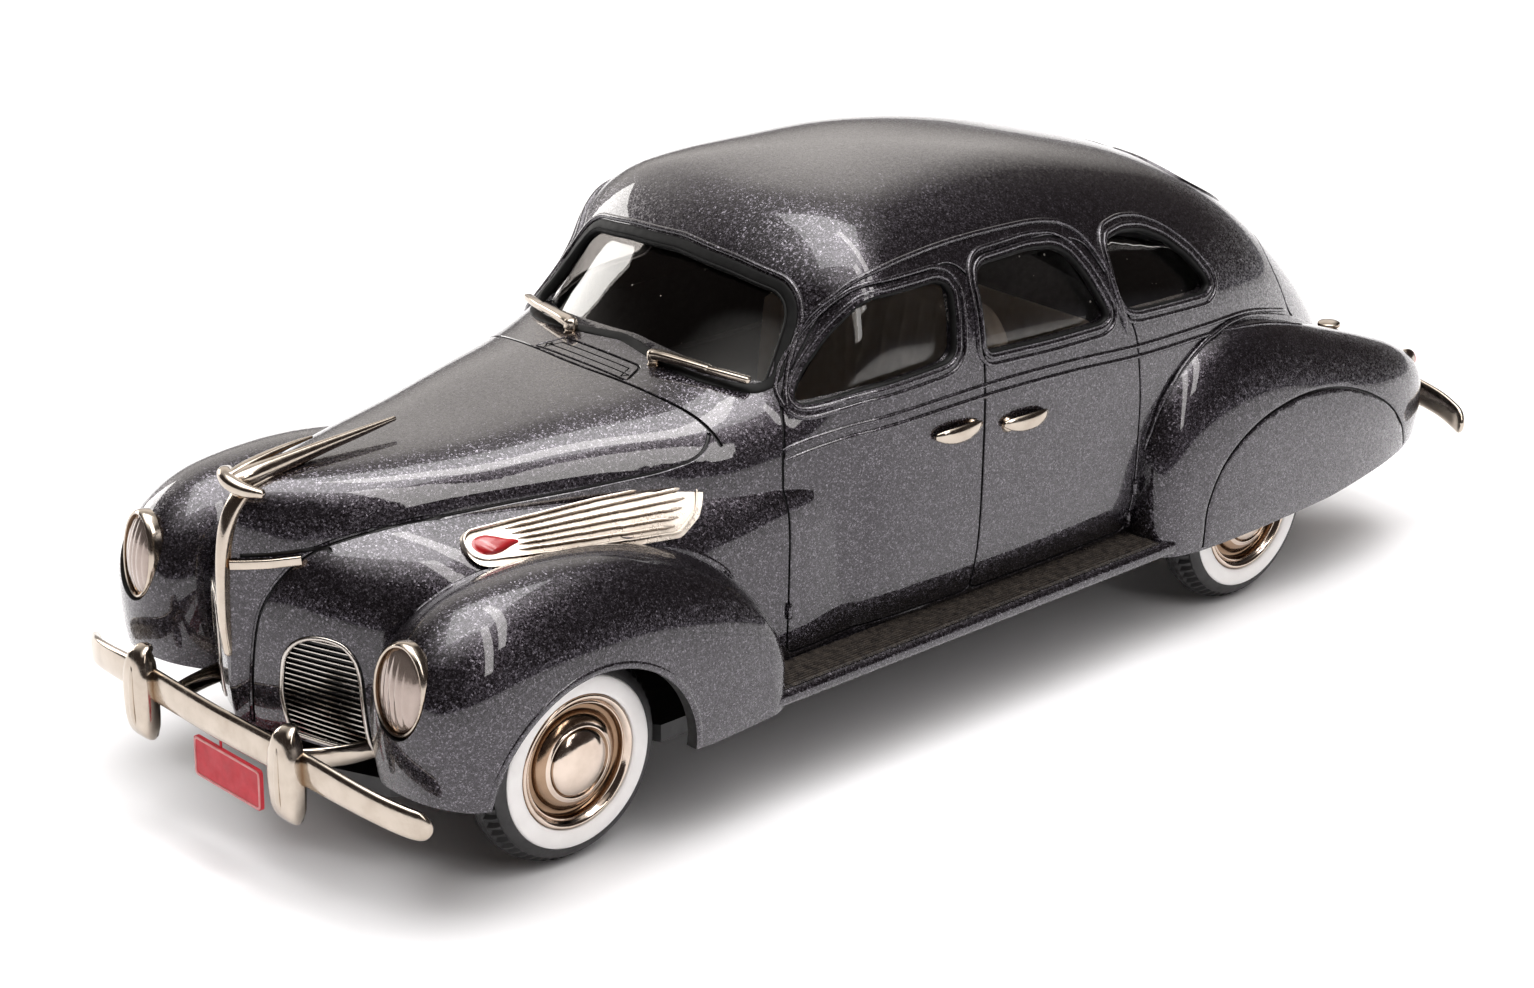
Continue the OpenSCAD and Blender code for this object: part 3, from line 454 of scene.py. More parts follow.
def prism(outline, lo, hi, axis, mats=(), index=0):
    """A closed 2-D outline drawn out along an axis: 0 takes (y, z), 1 takes (x, z), 2 takes (x, y)."""
    P = np.asarray(outline, float)
    if (signed_area(P) < 0) != (axis == 1):
        P = P[::-1]
    n = len(P)

    def at(p, h):
        return {0: (h, p[0], p[1]), 1: (p[0], h, p[1]), 2: (p[0], p[1], h)}[axis]
    V = [at(p, lo) for p in P] + [at(p, hi) for p in P]
    F = [(i, (i + 1) % n, n + (i + 1) % n, n + i) for i in range(n)]
    F += [tuple(reversed(range(n))), tuple(range(n, 2 * n))]
    return to_mesh(V, F, mats, index)


def unit(v):
    v = np.asarray(v, float)
    n = np.linalg.norm(v, axis=-1, keepdims=True)
    return v / np.where(n < 1e-12, 1, n)


def sweep(P, normals, section, closed=False, scale=None, caps=True):
    """A closed 2-D section [(across, out), ...] carried along P; out is along the normals."""
    P = np.asarray(P, float)
    N = unit(normals)
    T = unit(np.roll(P, -1, 0) - np.roll(P, 1, 0)) if closed else along(P)
    N = unit(N - (N * T).sum(1)[:, None] * T)
    S = np.cross(T, N)
    sec = np.asarray(section, float)
    V = []
    for i in range(len(P)):
        k = 1.0 if scale is None else scale[i]
        ku, kv = (k, k) if np.isscalar(k) else k
        for u, v in sec:
            V.append(P[i] + S[i] * u * ku + N[i] * v * kv)
    me = to_mesh(V, ring_faces(len(P), len(sec), closed, caps))
    if signed_area(sec) < 0:
        me.flip_normals()
    return me


def oval(a, b, n=12, power=2.0):
    t = np.arange(n) * 2 * math.pi / n
    return np.stack([a * np.sign(np.cos(t)) * np.abs(np.cos(t)) ** (2 / power),
                     b * np.sign(np.sin(t)) * np.abs(np.sin(t)) ** (2 / power)], 1)


def bar(rows, up=(0, 0, 1), around=20, steps=10, power=2.3, cap=True):
    """A rounded bar through rows of (x, y, z, half-width, half-height)."""
    R = catmull(rows, steps)
    if cap:
        # each end is closed with a dome
        def dome(r, inward):
            out = []
            t = unit(r[:3] - inward[:3])
            for a in (80, 60, 40, 20):
                c, s = math.cos(math.radians(a)), math.sin(math.radians(a))
                reach = min(r[3], r[4]) * s
                out.append(np.concatenate([r[:3] + t * reach, [r[3] * c, r[4] * c]]))
            return out
        first = dome(R[0], R[1])
        last = dome(R[-1], R[-2])
        R = np.vstack([first, R, last[::-1]])
    up = np.asarray(up, float)
    P = R[:, :3]
    T = along(P)
    S = unit(np.cross(T, up))
    U = np.cross(S, T)
    sec = oval(1, 1, around, power)
    V = []
    for i in range(len(P)):
        for u, v in sec:
            V.append(P[i] + S[i] * u * R[i, 3] + U[i] * v * R[i, 4])
    return to_mesh(V, ring_faces(len(P), around))


def lathe(profile, n=128, closed=False, modulate=None):
    """Turns (r, z) about Z; a profile that starts and ends on the axis is closed by itself."""
    P = np.asarray(profile, float)
    V, F, idx = [], [], []
    for i, (r, z) in enumerate(P):
        if r < 1e-6:
            idx.append([len(V)] * n)
            V.append((0, 0, z))
        else:
            idx.append(list(range(len(V), len(V) + n)))
            for j in range(n):
                a = 2 * math.pi * j / n
                k = 0.0 if modulate is None else modulate(i, j)
                V.append(((r + k) * math.cos(a), (r + k) * math.sin(a), z))
    m = len(P)
    for i in range(m if closed else m - 1):
        A, B = idx[i], idx[(i + 1) % m]
        for j in range(n):
            k = (j + 1) % n
            f = [A[j], A[k], B[k], B[j]]
            g = []
            for v in f:
                if v not in g:
                    g.append(v)
            if len(g) > 2:
                F.append(tuple(g))
    return to_mesh(V, F)


def outward(me):
    """Turns a closed mesh so that its faces look out."""
    me.calc_loop_triangles()
    co = points(me)
    t = np.array([l.vertices[:] for l in me.loop_triangles])
    if np.einsum("ij,ij->i", co[t[:, 0]], np.cross(co[t[:, 1]], co[t[:, 2]])).sum() < 0:
        me.flip_normals()
    return me


UPRIGHT = [(1, 0, 0), (0, 1, 0), (0, 0, 1)]


def place(me, axes, origin):
    """Moves a mesh so that its x, y, z lie along three given directions."""
    A = np.asarray(axes, float)
    return outward(put(me, [A.T @ p + np.asarray(origin, float) for p in points(me)]))


def pitched(V, degrees):
    """Points turned about X."""
    c, s = math.cos(math.radians(degrees)), math.sin(math.radians(degrees))
    V = np.asarray(V, float)
    return np.stack([V[:, 0], V[:, 1] * c - V[:, 2] * s, V[:, 1] * s + V[:, 2] * c], 1)


def bright(name, me, node, smooth=50):
    piece(name, me, "body", "chrome", [NICKEL], node, smooth=smooth)


def pair(name, me, body, slot, nodes, **kw):
    """A piece and its mirror image."""
    other = me.copy()
    piece(name + "_left", me, body, slot, node=nodes[0], **kw)
    piece(name + "_right", other, body, slot, node=nodes[1], mirror=True, **kw)


# ---- Lofts: [y, x0, out, in, zm, up, down, n_up, n_down, sweep], the stations of the casting
MAIN = [
    [-59.3, 0, 0.3, 0.3, 19, 5.0, 6.0, 2.0, 2.0, 0],
    [-58.9, 0, 0.9, 0.9, 19, 7.2, 8.5, 2.0, 2.0, 0],
    [-58.0, 0, 1.9, 1.9, 19.5, 7.9, 10, 2.1, 2.2, 0],
    [-56.0, 0, 3.6, 3.6, 20.5, 7.7, 13, 2.3, 2.6, 0],
    [-52.0, 0, 5.9, 5.9, 22, 6.5, 17, 2.7, 3, 0],
    [-46.0, 0, 7.7, 7.7, 23, 5.7, 19, 3.2, 4, 0],
    [-39.0, 0, 9.8, 9.8, 23, 6.0, 19, 3.4, 4, 0],
    [-32.0, 0, 12.3, 12.3, 22.5, 7.1, 18.5, 3.4, 4, 0],
    [-26.0, 0, 14.8, 14.8, 22, 8.1, 18, 3.2, 4, 0],
    [-22.8, 0, 16.1, 16.1, 22, 8.7, 18, 3.4, 4, 0.6],
    [-21.6, 0, 16.6, 16.6, 22, 9.5, 18, 3.8, 4, 1.2],
    [-18.4, 0, 17.4, 17.4, 22, 12.8, 18, 4.4, 4, 1.4],
    [-15.4, 0, 17.9, 17.9, 22, 16.2, 18, 4.2, 4, 1.0],
    [-12.0, 0, 18.2, 18.2, 22, 18.8, 18, 3.6, 4, 0.6],
    [-8.0, 0, 18.4, 18.4, 22, 19.9, 18, 3.15, 4, 0.2],
    [-2.0, 0, 18.6, 18.6, 22, 20.3, 18, 2.8, 4, 0],
    [6.0, 0, 18.7, 18.7, 22, 20.2, 18, 2.65, 4, 0],
    [14.0, 0, 18.6, 18.6, 22, 19.2, 18, 2.55, 4, 0],
    [22.0, 0, 18.2, 18.2, 21.8, 17.6, 18, 2.5, 4, 0],
    [30.0, 0, 17.4, 17.4, 21, 16.0, 17, 2.5, 4, 0],
    [37.0, 0, 16.1, 16.1, 19.8, 14.0, 15.5, 2.5, 4, 0],
    [43.0, 0, 14.4, 14.4, 18.2, 11.2, 13.5, 2.5, 4, 0],
    [48.5, 0, 12.2, 12.2, 16.4, 8.0, 11, 2.4, 3.5, 0],
    [52.8, 0, 9.7, 9.7, 14.4, 5.1, 8, 2.3, 3, 0],
    [55.9, 0, 6.2, 6.2, 12.8, 2.8, 4.6, 2.2, 2.5, 0],
    [57.0, 0, 0.1, 0.1, 12, 0.1, 0.1, 2, 2, 0]]
CATWALK = [
    [-58.5, 0, 0.1, 0.1, 15, 0.1, 0.1, 2, 2, 0],
    [-58.2, 0, 1.8, 1.8, 15, 4.4, 4.0, 2.2, 2.2, 0],
    [-57.3, 0, 4.2, 4.2, 15, 6.8, 6.4, 2.3, 2.4, 0],
    [-55.6, 0, 7.4, 7.4, 15, 8.8, 8.2, 2.4, 2.6, 0],
    [-53.0, 0, 10.4, 10.4, 15.3, 9.9, 10.4, 2.4, 3, 0],
    [-48.5, 0, 13.3, 13.3, 15.8, 10.2, 11.8, 2.3, 4, 0],
    [-42.0, 0, 15.1, 15.1, 16.2, 9.9, 12.2, 2.3, 5, 0],
    [-34.0, 0, 16.0, 16.0, 16.5, 9.6, 12.5, 2.6, 5, 0],
    [-26.0, 0, 16.7, 16.7, 16.8, 9.2, 12.8, 3.2, 5, 0],
    [-19.0, 0, 17.2, 17.2, 17, 8.8, 13, 4.2, 5, 0],
    [-12.0, 0, 16.8, 16.8, 17, 8.0, 13, 4.2, 5, 0]]
FRONT_FENDER = [
    [-57.0, 15.6, 0.1, 0.1, 14.5, 0.1, 0.1, 2, 2, 0],
    [-56.6, 15.6, 2.4, 2.4, 14.5, 3.0, 4.5, 2.1, 2.2, 0],
    [-55.5, 15.7, 4.0, 4.0, 14.5, 5.1, 7.5, 2.2, 2.5, 0],
    [-53.2, 15.7, 5.2, 5.2, 14.5, 7.1, 9.5, 2.2, 3, 0],
    [-50.0, 15.8, 5.7, 5.8, 14.4, 8.5, 10, 2.2, 3.2, 0],
    [-45.0, 15.9, 5.8, 6, 14.2, 9.2, 10.2, 2.2, 3.4, 0],
    [-40.0, 16, 5.7, 6, 14, 9.2, 10, 2.2, 3.6, 0],
    [-35.0, 16.1, 5.5, 6, 13.5, 8.8, 9.5, 2.2, 3.8, 0],
    [-30.5, 16.2, 5.3, 6, 13, 7.6, 9, 2.3, 4, 0],
    [-27.2, 16.3, 5.0, 6, 12.2, 6.2, 8.2, 2.4, 4, 0],
    [-25.0, 16.4, 4.6, 6, 11.2, 4.6, 7.2, 2.5, 4, 0],
    [-23.8, 16.4, 3.6, 5, 10.2, 2.8, 5, 2.4, 3, 0],
    [-23.2, 16.4, 0.1, 0.1, 9, 0.1, 0.1, 2, 2, 0]]
REAR_FENDER = [
    [17.9, 16.4, 0.1, 0.1, 12, 0.1, 0.1, 2, 2, 0],
    [18.4, 16.4, 3.4, 3, 12.5, 4.2, 6, 2.2, 3, 0],
    [20.0, 16.4, 4.5, 5, 13, 7.6, 8.8, 2.2, 3.4, 0],
    [22.8, 16.4, 4.9, 6, 13.5, 9.7, 9.6, 2.2, 3.6, 0],
    [27.0, 16.4, 5.2, 6, 13.5, 11.2, 9.8, 2.2, 3.6, 0],
    [32.0, 16.3, 5.4, 6, 13.5, 11.2, 9.8, 2.2, 3.6, 0],
    [38.0, 16.2, 5.4, 6, 13.3, 9.8, 9.6, 2.2, 3.6, 0],
    [44.0, 16.0, 5.3, 6, 13, 8.1, 9.2, 2.2, 3.6, 0],
    [49.5, 15.8, 4.9, 5.8, 12.8, 6.4, 8.2, 2.2, 3.4, 0],
    [54.0, 15.5, 4.0, 5, 12.8, 4.6, 6.6, 2.2, 3, 0],
    [57.2, 15.2, 2.4, 3.2, 12.6, 2.8, 4.2, 2.2, 2.6, 0],
    [58.4, 15, 0.1, 0.1, 12.4, 0.1, 0.1, 2, 2, 0]]


def blank_row(r):
    return r[2] < 0.2


def beyond(r):
    return np.array([r[0], r[1], -r[2], -r[3], r[4], -r[5], -r[6], r[7], r[8], r[9]])


def stations(T, steps):
    T = np.asarray(T, float)
    n = len(T) - 1
    out = []
    for i in range(n):
        b, c = T[i], T[i + 1]
        a = T[i - 1] if i else (beyond(c) if blank_row(b) else 2 * b - c)
        d = T[i + 2] if i < n - 1 else (beyond(b) if blank_row(c) else 2 * c - b)
        out += [spline_point(a, b, c, d, s / steps) for s in range(steps)]
    out.append(T[-1])
    return np.array(out)


FINE = np.linspace(0, math.pi / 2, 400)


def section(r, d, quarter):
    """The section's points, evenly spaced along each of its four quarters."""
    pts = []
    for q in range(4):
        cs, sn = np.cos(FINE), np.sin(FINE)
        if q % 2:
            cs, sn = cs[::-1], sn[::-1]
        n = r[7] if q < 2 else r[8]
        w = max((r[2] if q in (0, 3) else r[3]) - d, 0.05)
        h = max((r[5] if q < 2 else r[6]) - d, 0.05)
        x = r[1] + (1 if q in (0, 3) else -1) * w * cs ** (2 / n)
        z = r[4] + (1 if q < 2 else -1) * h * sn ** (2 / n)
        s = np.concatenate([[0], np.cumsum(np.hypot(np.diff(x), np.diff(z)))])
        t = np.linspace(0, s[-1], quarter + 1)[:-1]
        pts.append(np.stack([np.interp(t, s, x), np.interp(t, s, z)], 1))
    P = np.vstack(pts)
    return np.stack([P[:, 0], r[0] + r[9] * P[:, 0] ** 2 / 100, P[:, 1]], 1)


def loft(T, d=0.0, steps=6, quarter=26, mats=(), index=0, mirror=False):
    R = stations(T, steps)
    mid, half = (R[0, 0] + R[-1, 0]) / 2, (R[-1, 0] - R[0, 0]) / 2
    k = 1 - d / half
    V = []
    for r in R:
        p = section(r, d, quarter)
        p[:, 1] = mid + (p[:, 1] - mid) * k
        V.append(p)
    V = np.vstack(V)
    if mirror:
        V[:, 0] *= -1
    me = to_mesh(V, ring_faces(len(R), 4 * quarter), mats, index)
    return outward(me)


# ---- The casting
BODY_MATS = [PAINT, DARK, LINING]
WALL = 1.0
ARCH_Y, ARCH_Z = -43, 7.9
WINDSCREEN = [[-13.1, 30.1], [-12.7, 29.9], [-6, 30.6], [0, 31], [6, 30.6], [12.7, 29.9], [13.1, 30.1],
              [12.7, 31.4], [11.9, 34.2], [11.3, 35.2], [10.3, 35.9], [6, 36.5], [0, 36.9], [-6, 36.5],
              [-10.3, 35.9], [-11.3, 35.2], [-11.9, 34.2], [-12.7, 31.4]]
FRONT_WINDOW = [[-18.4, 28.9], [-18.5, 29.5], [-17.4, 31.0], [-13.4, 35.0], [-12.4, 35.7], [-11.2, 36.0],
                [-4.6, 35.9], [-3.6, 35.5], [-3.3, 34.8], [-4.1, 30.5], [-4.7, 29.9], [-5.6, 29.7],
                [-12.9, 29.4], [-17.6, 28.8]]
REAR_WINDOW = [[-0.9, 30.0], [-0.5, 35.0], [-0.1, 35.7], [0.8, 36.1], [6.3, 36.1], [9.2, 35.7],
               [10.6, 34.9], [11.8, 33.2], [13.5, 29.9], [13.4, 29.2], [12.5, 28.9], [6.3, 29.1],
               [-0.4, 29.5]]
QUARTER_WINDOW = [[15.9, 34.9], [18.3, 35.0], [20.9, 34.5], [23.3, 33.4], [25.7, 31.5], [27.4, 29.4],
                  [27.5, 28.6], [26.6, 28.2], [17.0, 29.0], [15.7, 29.5], [15.0, 31.2], [15.2, 34.2]]
TAIL_WINDOW = [[0.8, 31.2], [0.8, 35.2], [1.2, 35.6], [5.6, 35.3], [7.7, 34.5], [8.3, 33.4], [7.9, 32.0],
               [6.6, 31.2], [1.2, 30.8]]
GRILLE = [[3.8, 10.3], [3.5, 13.5], [3.8, 16.3], [4.5, 17.5], [5.6, 18.2], [6.9, 18.3], [8.1, 17.9],
          [8.9, 16.8], [9.2, 15.4], [9.3, 12.5], [9.3, 9.4], [8.8, 9.1], [4.2, 10.0]]
FRONT_DOOR = [[-20.6, 9.8], [-20.5, 25.2], [-19.5, 29.0], [-14.2, 35.4], [-12.3, 36.7], [-2.6, 36.7],
              [-1.2, 35.6], [-1.3, 9.8]]
REAR_DOOR = [[-1.3, 9.8], [-1.3, 26], [-0.9, 35.5], [0.6, 36.6], [9.0, 36.4], [12.6, 35.2], [14.6, 31.4],
             [16.7, 27.4], [17.4, 21.6], [17.4, 9.8]]
TRIM = [[-46.4, 23.3], [-46.1, 23.9], [-45.3, 24.2], [-34.3, 24.4], [-26.4, 24.4], [-28.2, 22.6],
        [-30.2, 21.6], [-40, 22.1], [-45.3, 22.4], [-46.1, 22.7]]
BOTTOM = [[-60, 10.2], [-57, 9.8], [-53.9, 8.9], [-48, 8.2], [-32, 7.6], [-24, 7.8], [17, 7.8], [23, 7.4],
          [40, 7.9], [52, 9.1], [60, 10.4]]
windscreen = rounded(WINDSCREEN, 0.9)
front_window = rounded(FRONT_WINDOW, 0.8)
rear_window = rounded(REAR_WINDOW, 0.9)
quarter_window = rounded(QUARTER_WINDOW, 0.9)
tail_window = rounded(TAIL_WINDOW, 0.7)
grille = rounded(GRILLE, 0.8)
front_door = rounded(FRONT_DOOR, 0.9)
rear_door = rounded(REAR_DOOR, 0.9)


def both(me):
    return [me, mirrored(me)]


def outside():
    me = loft(MAIN, mats=BODY_MATS)
    me = boolean(me, loft(CATWALK, mats=BODY_MATS), "UNION")
    for mirror in (False, True):
        me = boolean(me, loft(FRONT_FENDER, mats=BODY_MATS, mirror=mirror), "UNION")
        me = boolean(me, loft(REAR_FENDER, mats=BODY_MATS, mirror=mirror), "UNION")
    board = rounded([[14.5, 9.25], [20.5, 9.25], [21.0, 8.9], [21.0, 8.2], [20.6, 7.85], [14.5, 7.85]], 0.3)
    for side in both(prism(board, -26, 20, 1, BODY_MATS)):
        me = boolean(me, side, "UNION")
    under = np.array([[-70, -1], [-70, 10.2]] + BOTTOM + [[70, 10.4], [70, -1]])
    return boolean(me, prism(under, -40, 40, 0, BODY_MATS, 2), "DIFFERENCE")


OUTSIDE = outside()
OUTSIDE_TREE = tree_of(OUTSIDE)


def cast(origin, direction):
    """Where a ray first meets the painted surface, and the surface's normal there."""
    loc, nor, _, _ = OUTSIDE_TREE.ray_cast(Vector(origin), Vector(direction))
    if loc is None:
        loc, nor, _, _ = OUTSIDE_TREE.find_nearest(Vector(origin))
    return np.array(loc), np.array(nor)


def laid_on(outline, view_axis, step=0.35, closed=True):
    """A 2-D line laid on the casting: seen from the left (y, z), the front or back (x, z), or above (x, y)."""
    Q = even(outline, step, closed)
    pts, nors = [], []
    for p in Q:
        o, d = {
            "left": ((40, p[0], p[1]), (-1, 0, 0)),
            "front": ((p[0], -90, p[1]), (0, 1, 0)),
            "back": ((p[0], 90, p[1]), (0, -1, 0)),
            "top": ((p[0], p[1], 90), (0, 0, -1)),
        }[view_axis]
        a, b = cast(o, d)
        pts.append(a)
        nors.append(b)
    pts, nors = np.array(pts), np.array(nors)
    for _ in range(3):
        if closed:
            nors = unit(np.roll(nors, 1, 0) + 2 * nors + np.roll(nors, -1, 0))
        else:
            nors[1:-1] = unit(nors[:-2] + 2 * nors[1:-1] + nors[2:])
    return pts, nors


def strip(outline, view_axis, half, rise, closed=True, step=0.3, taper=False, n=10):
    """A rounded bead lying on the casting."""
    P, N = laid_on(outline, view_axis, step, closed)
    sec = oval(half, rise, n)
    scale = None
    if taper:
        L = len(P)
        scale = [min(1.0, 0.15 + 0.28 * min(i, L - 1 - i)) for i in range(L)]
    return outward(sweep(P, N, sec, closed, scale))


def cutter(P, N, half, depth, bevel=0.0, closed=True):
    """Cuts a black groove along points on the casting; bevel rounds its painted lips."""
    if bevel:
        sec = [(-half, -depth), (half, -depth), (half, -0.05), (half + bevel, 0.04), (half + bevel, 0.3),
               (-half - bevel, 0.3), (-half - bevel, 0.04), (-half, -0.05)]
        dark = (0, 1, 7)
    else:
        sec = [(-half, -depth), (half, -depth), (half, 0.25), (-half, 0.25)]
        dark = (0, 1, 2, 3)
    me = outward(sweep(P, N, sec, closed))
    for m in BODY_MATS:
        me.materials.append(m)
    k = len(sec)
    rows = len(me.polygons) // k
    index = [1 if i < rows * k and i % k in dark else 0 for i in range(len(me.polygons))]
    me.polygons.foreach_set("material_index", index)
    return me


def groove_on(outline, view_axis, half=0.09, depth=0.2, closed=True, step=0.3, bevel=0.0):
    P, N = laid_on(outline, view_axis, step, closed)
    return cutter(P, N, half, depth, bevel, closed)


def row_at(T, y):
    """The section of a table at y, between its rows."""
    R = stations(T, 6)
    return np.array([np.interp(y, R[:, 0], R[:, k]) for k in range(R.shape[1])])


def meeting(A, B, y0, y1, step=0.5):
    """The line along which two lofts meet on the car's left, from y0 to y1."""
    out = []
    a = np.linspace(-math.pi / 2, math.pi / 2, 1500)
    c, s = np.cos(a), np.sin(a)
    for y in np.arange(y0, y1, step):
        r, q = row_at(A, y), row_at(B, y)
        n = np.where(s >= 0, r[7], r[8])
        x = r[1] + r[2] * c ** (2 / n)
        z = r[4] + np.where(s >= 0, r[5], r[6]) * np.sign(s) * np.abs(s) ** (2 / n)
        w = np.where(x >= q[1], q[2], q[3])
        h = np.where(z >= q[4], q[5], q[6])
        m = np.where(z >= q[4], q[7], q[8])
        inside = (np.abs(x - q[1]) / w) ** m + (np.abs(z - q[4]) / h) ** m < 1
        k = np.nonzero(inside[1:] != inside[:-1])[0]
        if len(k):
            out.append((x[k[-1]], y, z[k[-1]]))
    return np.array(out)


def laid(points, step=0.3):
    """A 3-D line brought on to the casting, with smoothed normals."""
    Q = even(points, step)
    P, N = [], []
    for p in Q:
        loc, nor, _, _ = OUTSIDE_TREE.find_nearest(Vector(p))
        P.append(np.array(loc))
        N.append(np.array(nor))
    P, N = np.array(P), np.array(N)
    for _ in range(8):
        N[1:-1] = unit(N[:-2] + 2 * N[1:-1] + N[2:])
        P[1:-1] = (P[:-2] + 2 * P[1:-1] + P[2:]) / 4
    return P, N


def row_at_fast(R, y):
    """The row at y between two neighbouring stations."""
    i = min(max(int(np.searchsorted(R[:, 0], y)) - 1, 0), len(R) - 2)
    t = (y - R[i, 0]) / (R[i + 1, 0] - R[i, 0])
    return R[i] * (1 - t) + R[i + 1] * t


MAIN_ROWS, CATWALK_ROWS = stations(MAIN, 6), stations(CATWALK, 6)


def half_width(row, z):
    """How far out a section reaches at height z."""
    high = z >= row[4]
    n = row[7] if high else row[8]
    reach = abs(z - row[4]) / (row[5] if high else row[6])
    return row[1] + row[2] * max(0, 1 - reach ** n) ** (1 / n)


def nose_seam():
    """From the valance up beside the grille and back along the bonnet's lower edge to the cowl."""
    front = []
    for z in np.arange(10.2, 20.4, 0.5):
        for y in np.arange(-58.5, -50, 0.02):
            r, q = row_at_fast(MAIN_ROWS, y), row_at_fast(CATWALK_ROWS, y)
            if half_width(q, z) > half_width(r, z):
                front.append((half_width(r, z), y, z))
                break
    top = meeting(MAIN, CATWALK, -57.2, -47.5)
    rest = []
    for y, z in ((-46.0, 24.95), (-42, 25.1), (-36, 25.3), (-30, 25.75), (-27, 26.3), (-25.9, 27.0),
                 (-25.3, 27.8)):
        p, _ = cast((40, y, z), (-1, 0, 0))
        rest.append(p)
    return np.vstack([front, top, rest])


BELT_Z = [[-20.4, 26.0], [-14, 26.85], [-2, 27.2], [8, 26.9], [16.8, 26.2], [26, 25.7], [33, 25.1],
          [40.5, 23.1]]


def cut_body(me):
    """Hollows the casting, opens its windows, arches and grilles, and engraves its lines."""
    me = carve(me, loft(MAIN, WALL, 3, 14, BODY_MATS, 2), loft(CATWALK, WALL, 3, 10, BODY_MATS, 2))
    for mirror in (False, True):
        me = carve(me, *(loft(T, WALL, 3, 10, BODY_MATS, 2, mirror) for T in (FRONT_FENDER, REAR_FENDER)))
    me = carve(me, prism(even(windscreen, 0.4, True), -30, -10, 1, BODY_MATS, 0))
    for w in (front_window, rear_window, quarter_window):
        me = carve(me, *both(prism(even(w, 0.35, True), 12.4, 25, 0, BODY_MATS, 0)))
    me = carve(me, *both(prism(even(tail_window, 0.35, True), 15, 60, 1, BODY_MATS, 0)))
    t = circle(96)
    arch = np.stack([ARCH_Y + 9.3 * np.cos(t), ARCH_Z + 8.7 * np.sin(t)], 1)
    me = carve(me, *both(prism(arch, 15, 30, 0, BODY_MATS, 2)))
    me = carve(me, *both(prism(even(grille, 0.35, True), -62, -50, 1, BODY_MATS, 1)))
    seam_p, seam_n = laid(nose_seam())
    cutters = [
        groove_on(front_door, "left", bevel=0.11),
        groove_on(rear_door, "left", bevel=0.11),
        groove_on(SKIRT_LINE, "left", closed=False, half=0.1, depth=0.3, bevel=0.24),
        cutter(seam_p, seam_n, 0.1, 0.2, 0.1, False),
    ]
    for c in cutters:
        me = carve(me, *both(c))
    me = carve(me, groove_on(COWL_LINE, "top", closed=False, half=0.1, bevel=0.1))
    me = carve(me, groove_on(VENT, "top", half=0.09, bevel=0.09),
               groove_on(offset(VENT, -0.75), "top", half=0.07))
    me = carve(me, groove_on(BOOT_LINE, "back", closed=False, bevel=0.1), *both(lamp_socket()))
    bar_groove = [[1.0, 23.35], [2.6, 23.5], [4.0, 23.75], [4.9, 23.95], [5.35, 23.7]]
    return carve(me, *both(groove_on(catmull(bar_groove, 6), "front", 0.16, 0.3, False, bevel=0.06)))


LAMP_AT, LAMP_W, LAMP_H = (15.85, -55.9, 17.4), 2.45, 3.5


def lamp_place(V):
    """From a headlamp's own frame, facing -Y, to its place on the left wing."""
    c, s = math.cos(math.radians(9)), math.sin(math.radians(9))
    x, y, z = pitched(V, -6).T
    return np.stack([x * c - y * s, x * s + y * c, z], 1) + LAMP_AT


def lamp_socket():
    """What the wing gives up for a headlamp."""
    n = 72
    V = []
    for y in (-3.0, 0.43):
        V += [((LAMP_W + 0.04) * math.cos(a), y, (LAMP_H + 0.04) * math.sin(a)) for a in circle(n)]
    me = outward(to_mesh(lamp_place(V), ring_faces(2, n), BODY_MATS))
    me.polygons.foreach_set("material_index", [1] * len(me.polygons))
    return me


VENT = rounded([[-5.3, -26.45], [5.3, -26.45], [4.4, -24.2], [-4.4, -24.2]], 0.4)
SKIRT_LINE = catmull([[23.4, 7.7], [23.5, 11.5], [25.6, 15.2], [30.0, 17.6], [36.0, 18.3], [42.0, 17.3],
                      [47.4, 14.8], [50.8, 11.8], [52.0, 9.4]], 8)
COWL_LINE = catmull([[-14.2, -24.9], [-12.5, -25.3], [-8, -26.4], [-3, -26.9], [0, -27.0], [3, -26.9],
                     [8, -26.4], [12.5, -25.3], [14.2, -24.9]], 8)
BOOT_LINE = catmull([[-9.6, 12.5], [-12.2, 17], [-14.3, 21.5], [-14.5, 24], [-13.4, 27.2], [-11.2, 28.9],
                     [-7, 29.7], [0, 30], [7, 29.7], [11.2, 28.9], [13.4, 27.2], [14.5, 24], [14.3, 21.5],
                     [12.2, 17], [9.6, 12.5]], 8)
body_mesh = cut_body(OUTSIDE)
piece("body_casting", body_mesh, "body", "paint", node="body_shell", smooth=28)

# Mouldings that stand a little proud of the casting, painted with it
mouldings = []


def moulding(*args, sides=True, **kw):
    me = strip(*args, **kw)
    mouldings.extend(both(me) if sides else [me])


for w in (front_window, rear_window, quarter_window):
    moulding(offset(w, 0.30), "left", 0.2, 0.15)
    moulding(offset(w, 0.88), "left", 0.2, 0.2)
header = offset(windscreen, 0.98)
header = np.roll(header, -int(np.argmin(header[:, 1])), 0)
moulding(header[header[:, 1] > header[:, 1].min() + 1.6], "front", 0.24, 0.26, closed=False, taper=True,
         sides=False)
moulding(offset(tail_window, 0.35), "back", 0.22, 0.14)
belt = catmull(BELT_Z, 10)
moulding(belt, "left", 0.2, 0.2, closed=False, taper=True)
moulding(belt + [0, -0.85], "left", 0.2, 0.2, closed=False, taper=True)
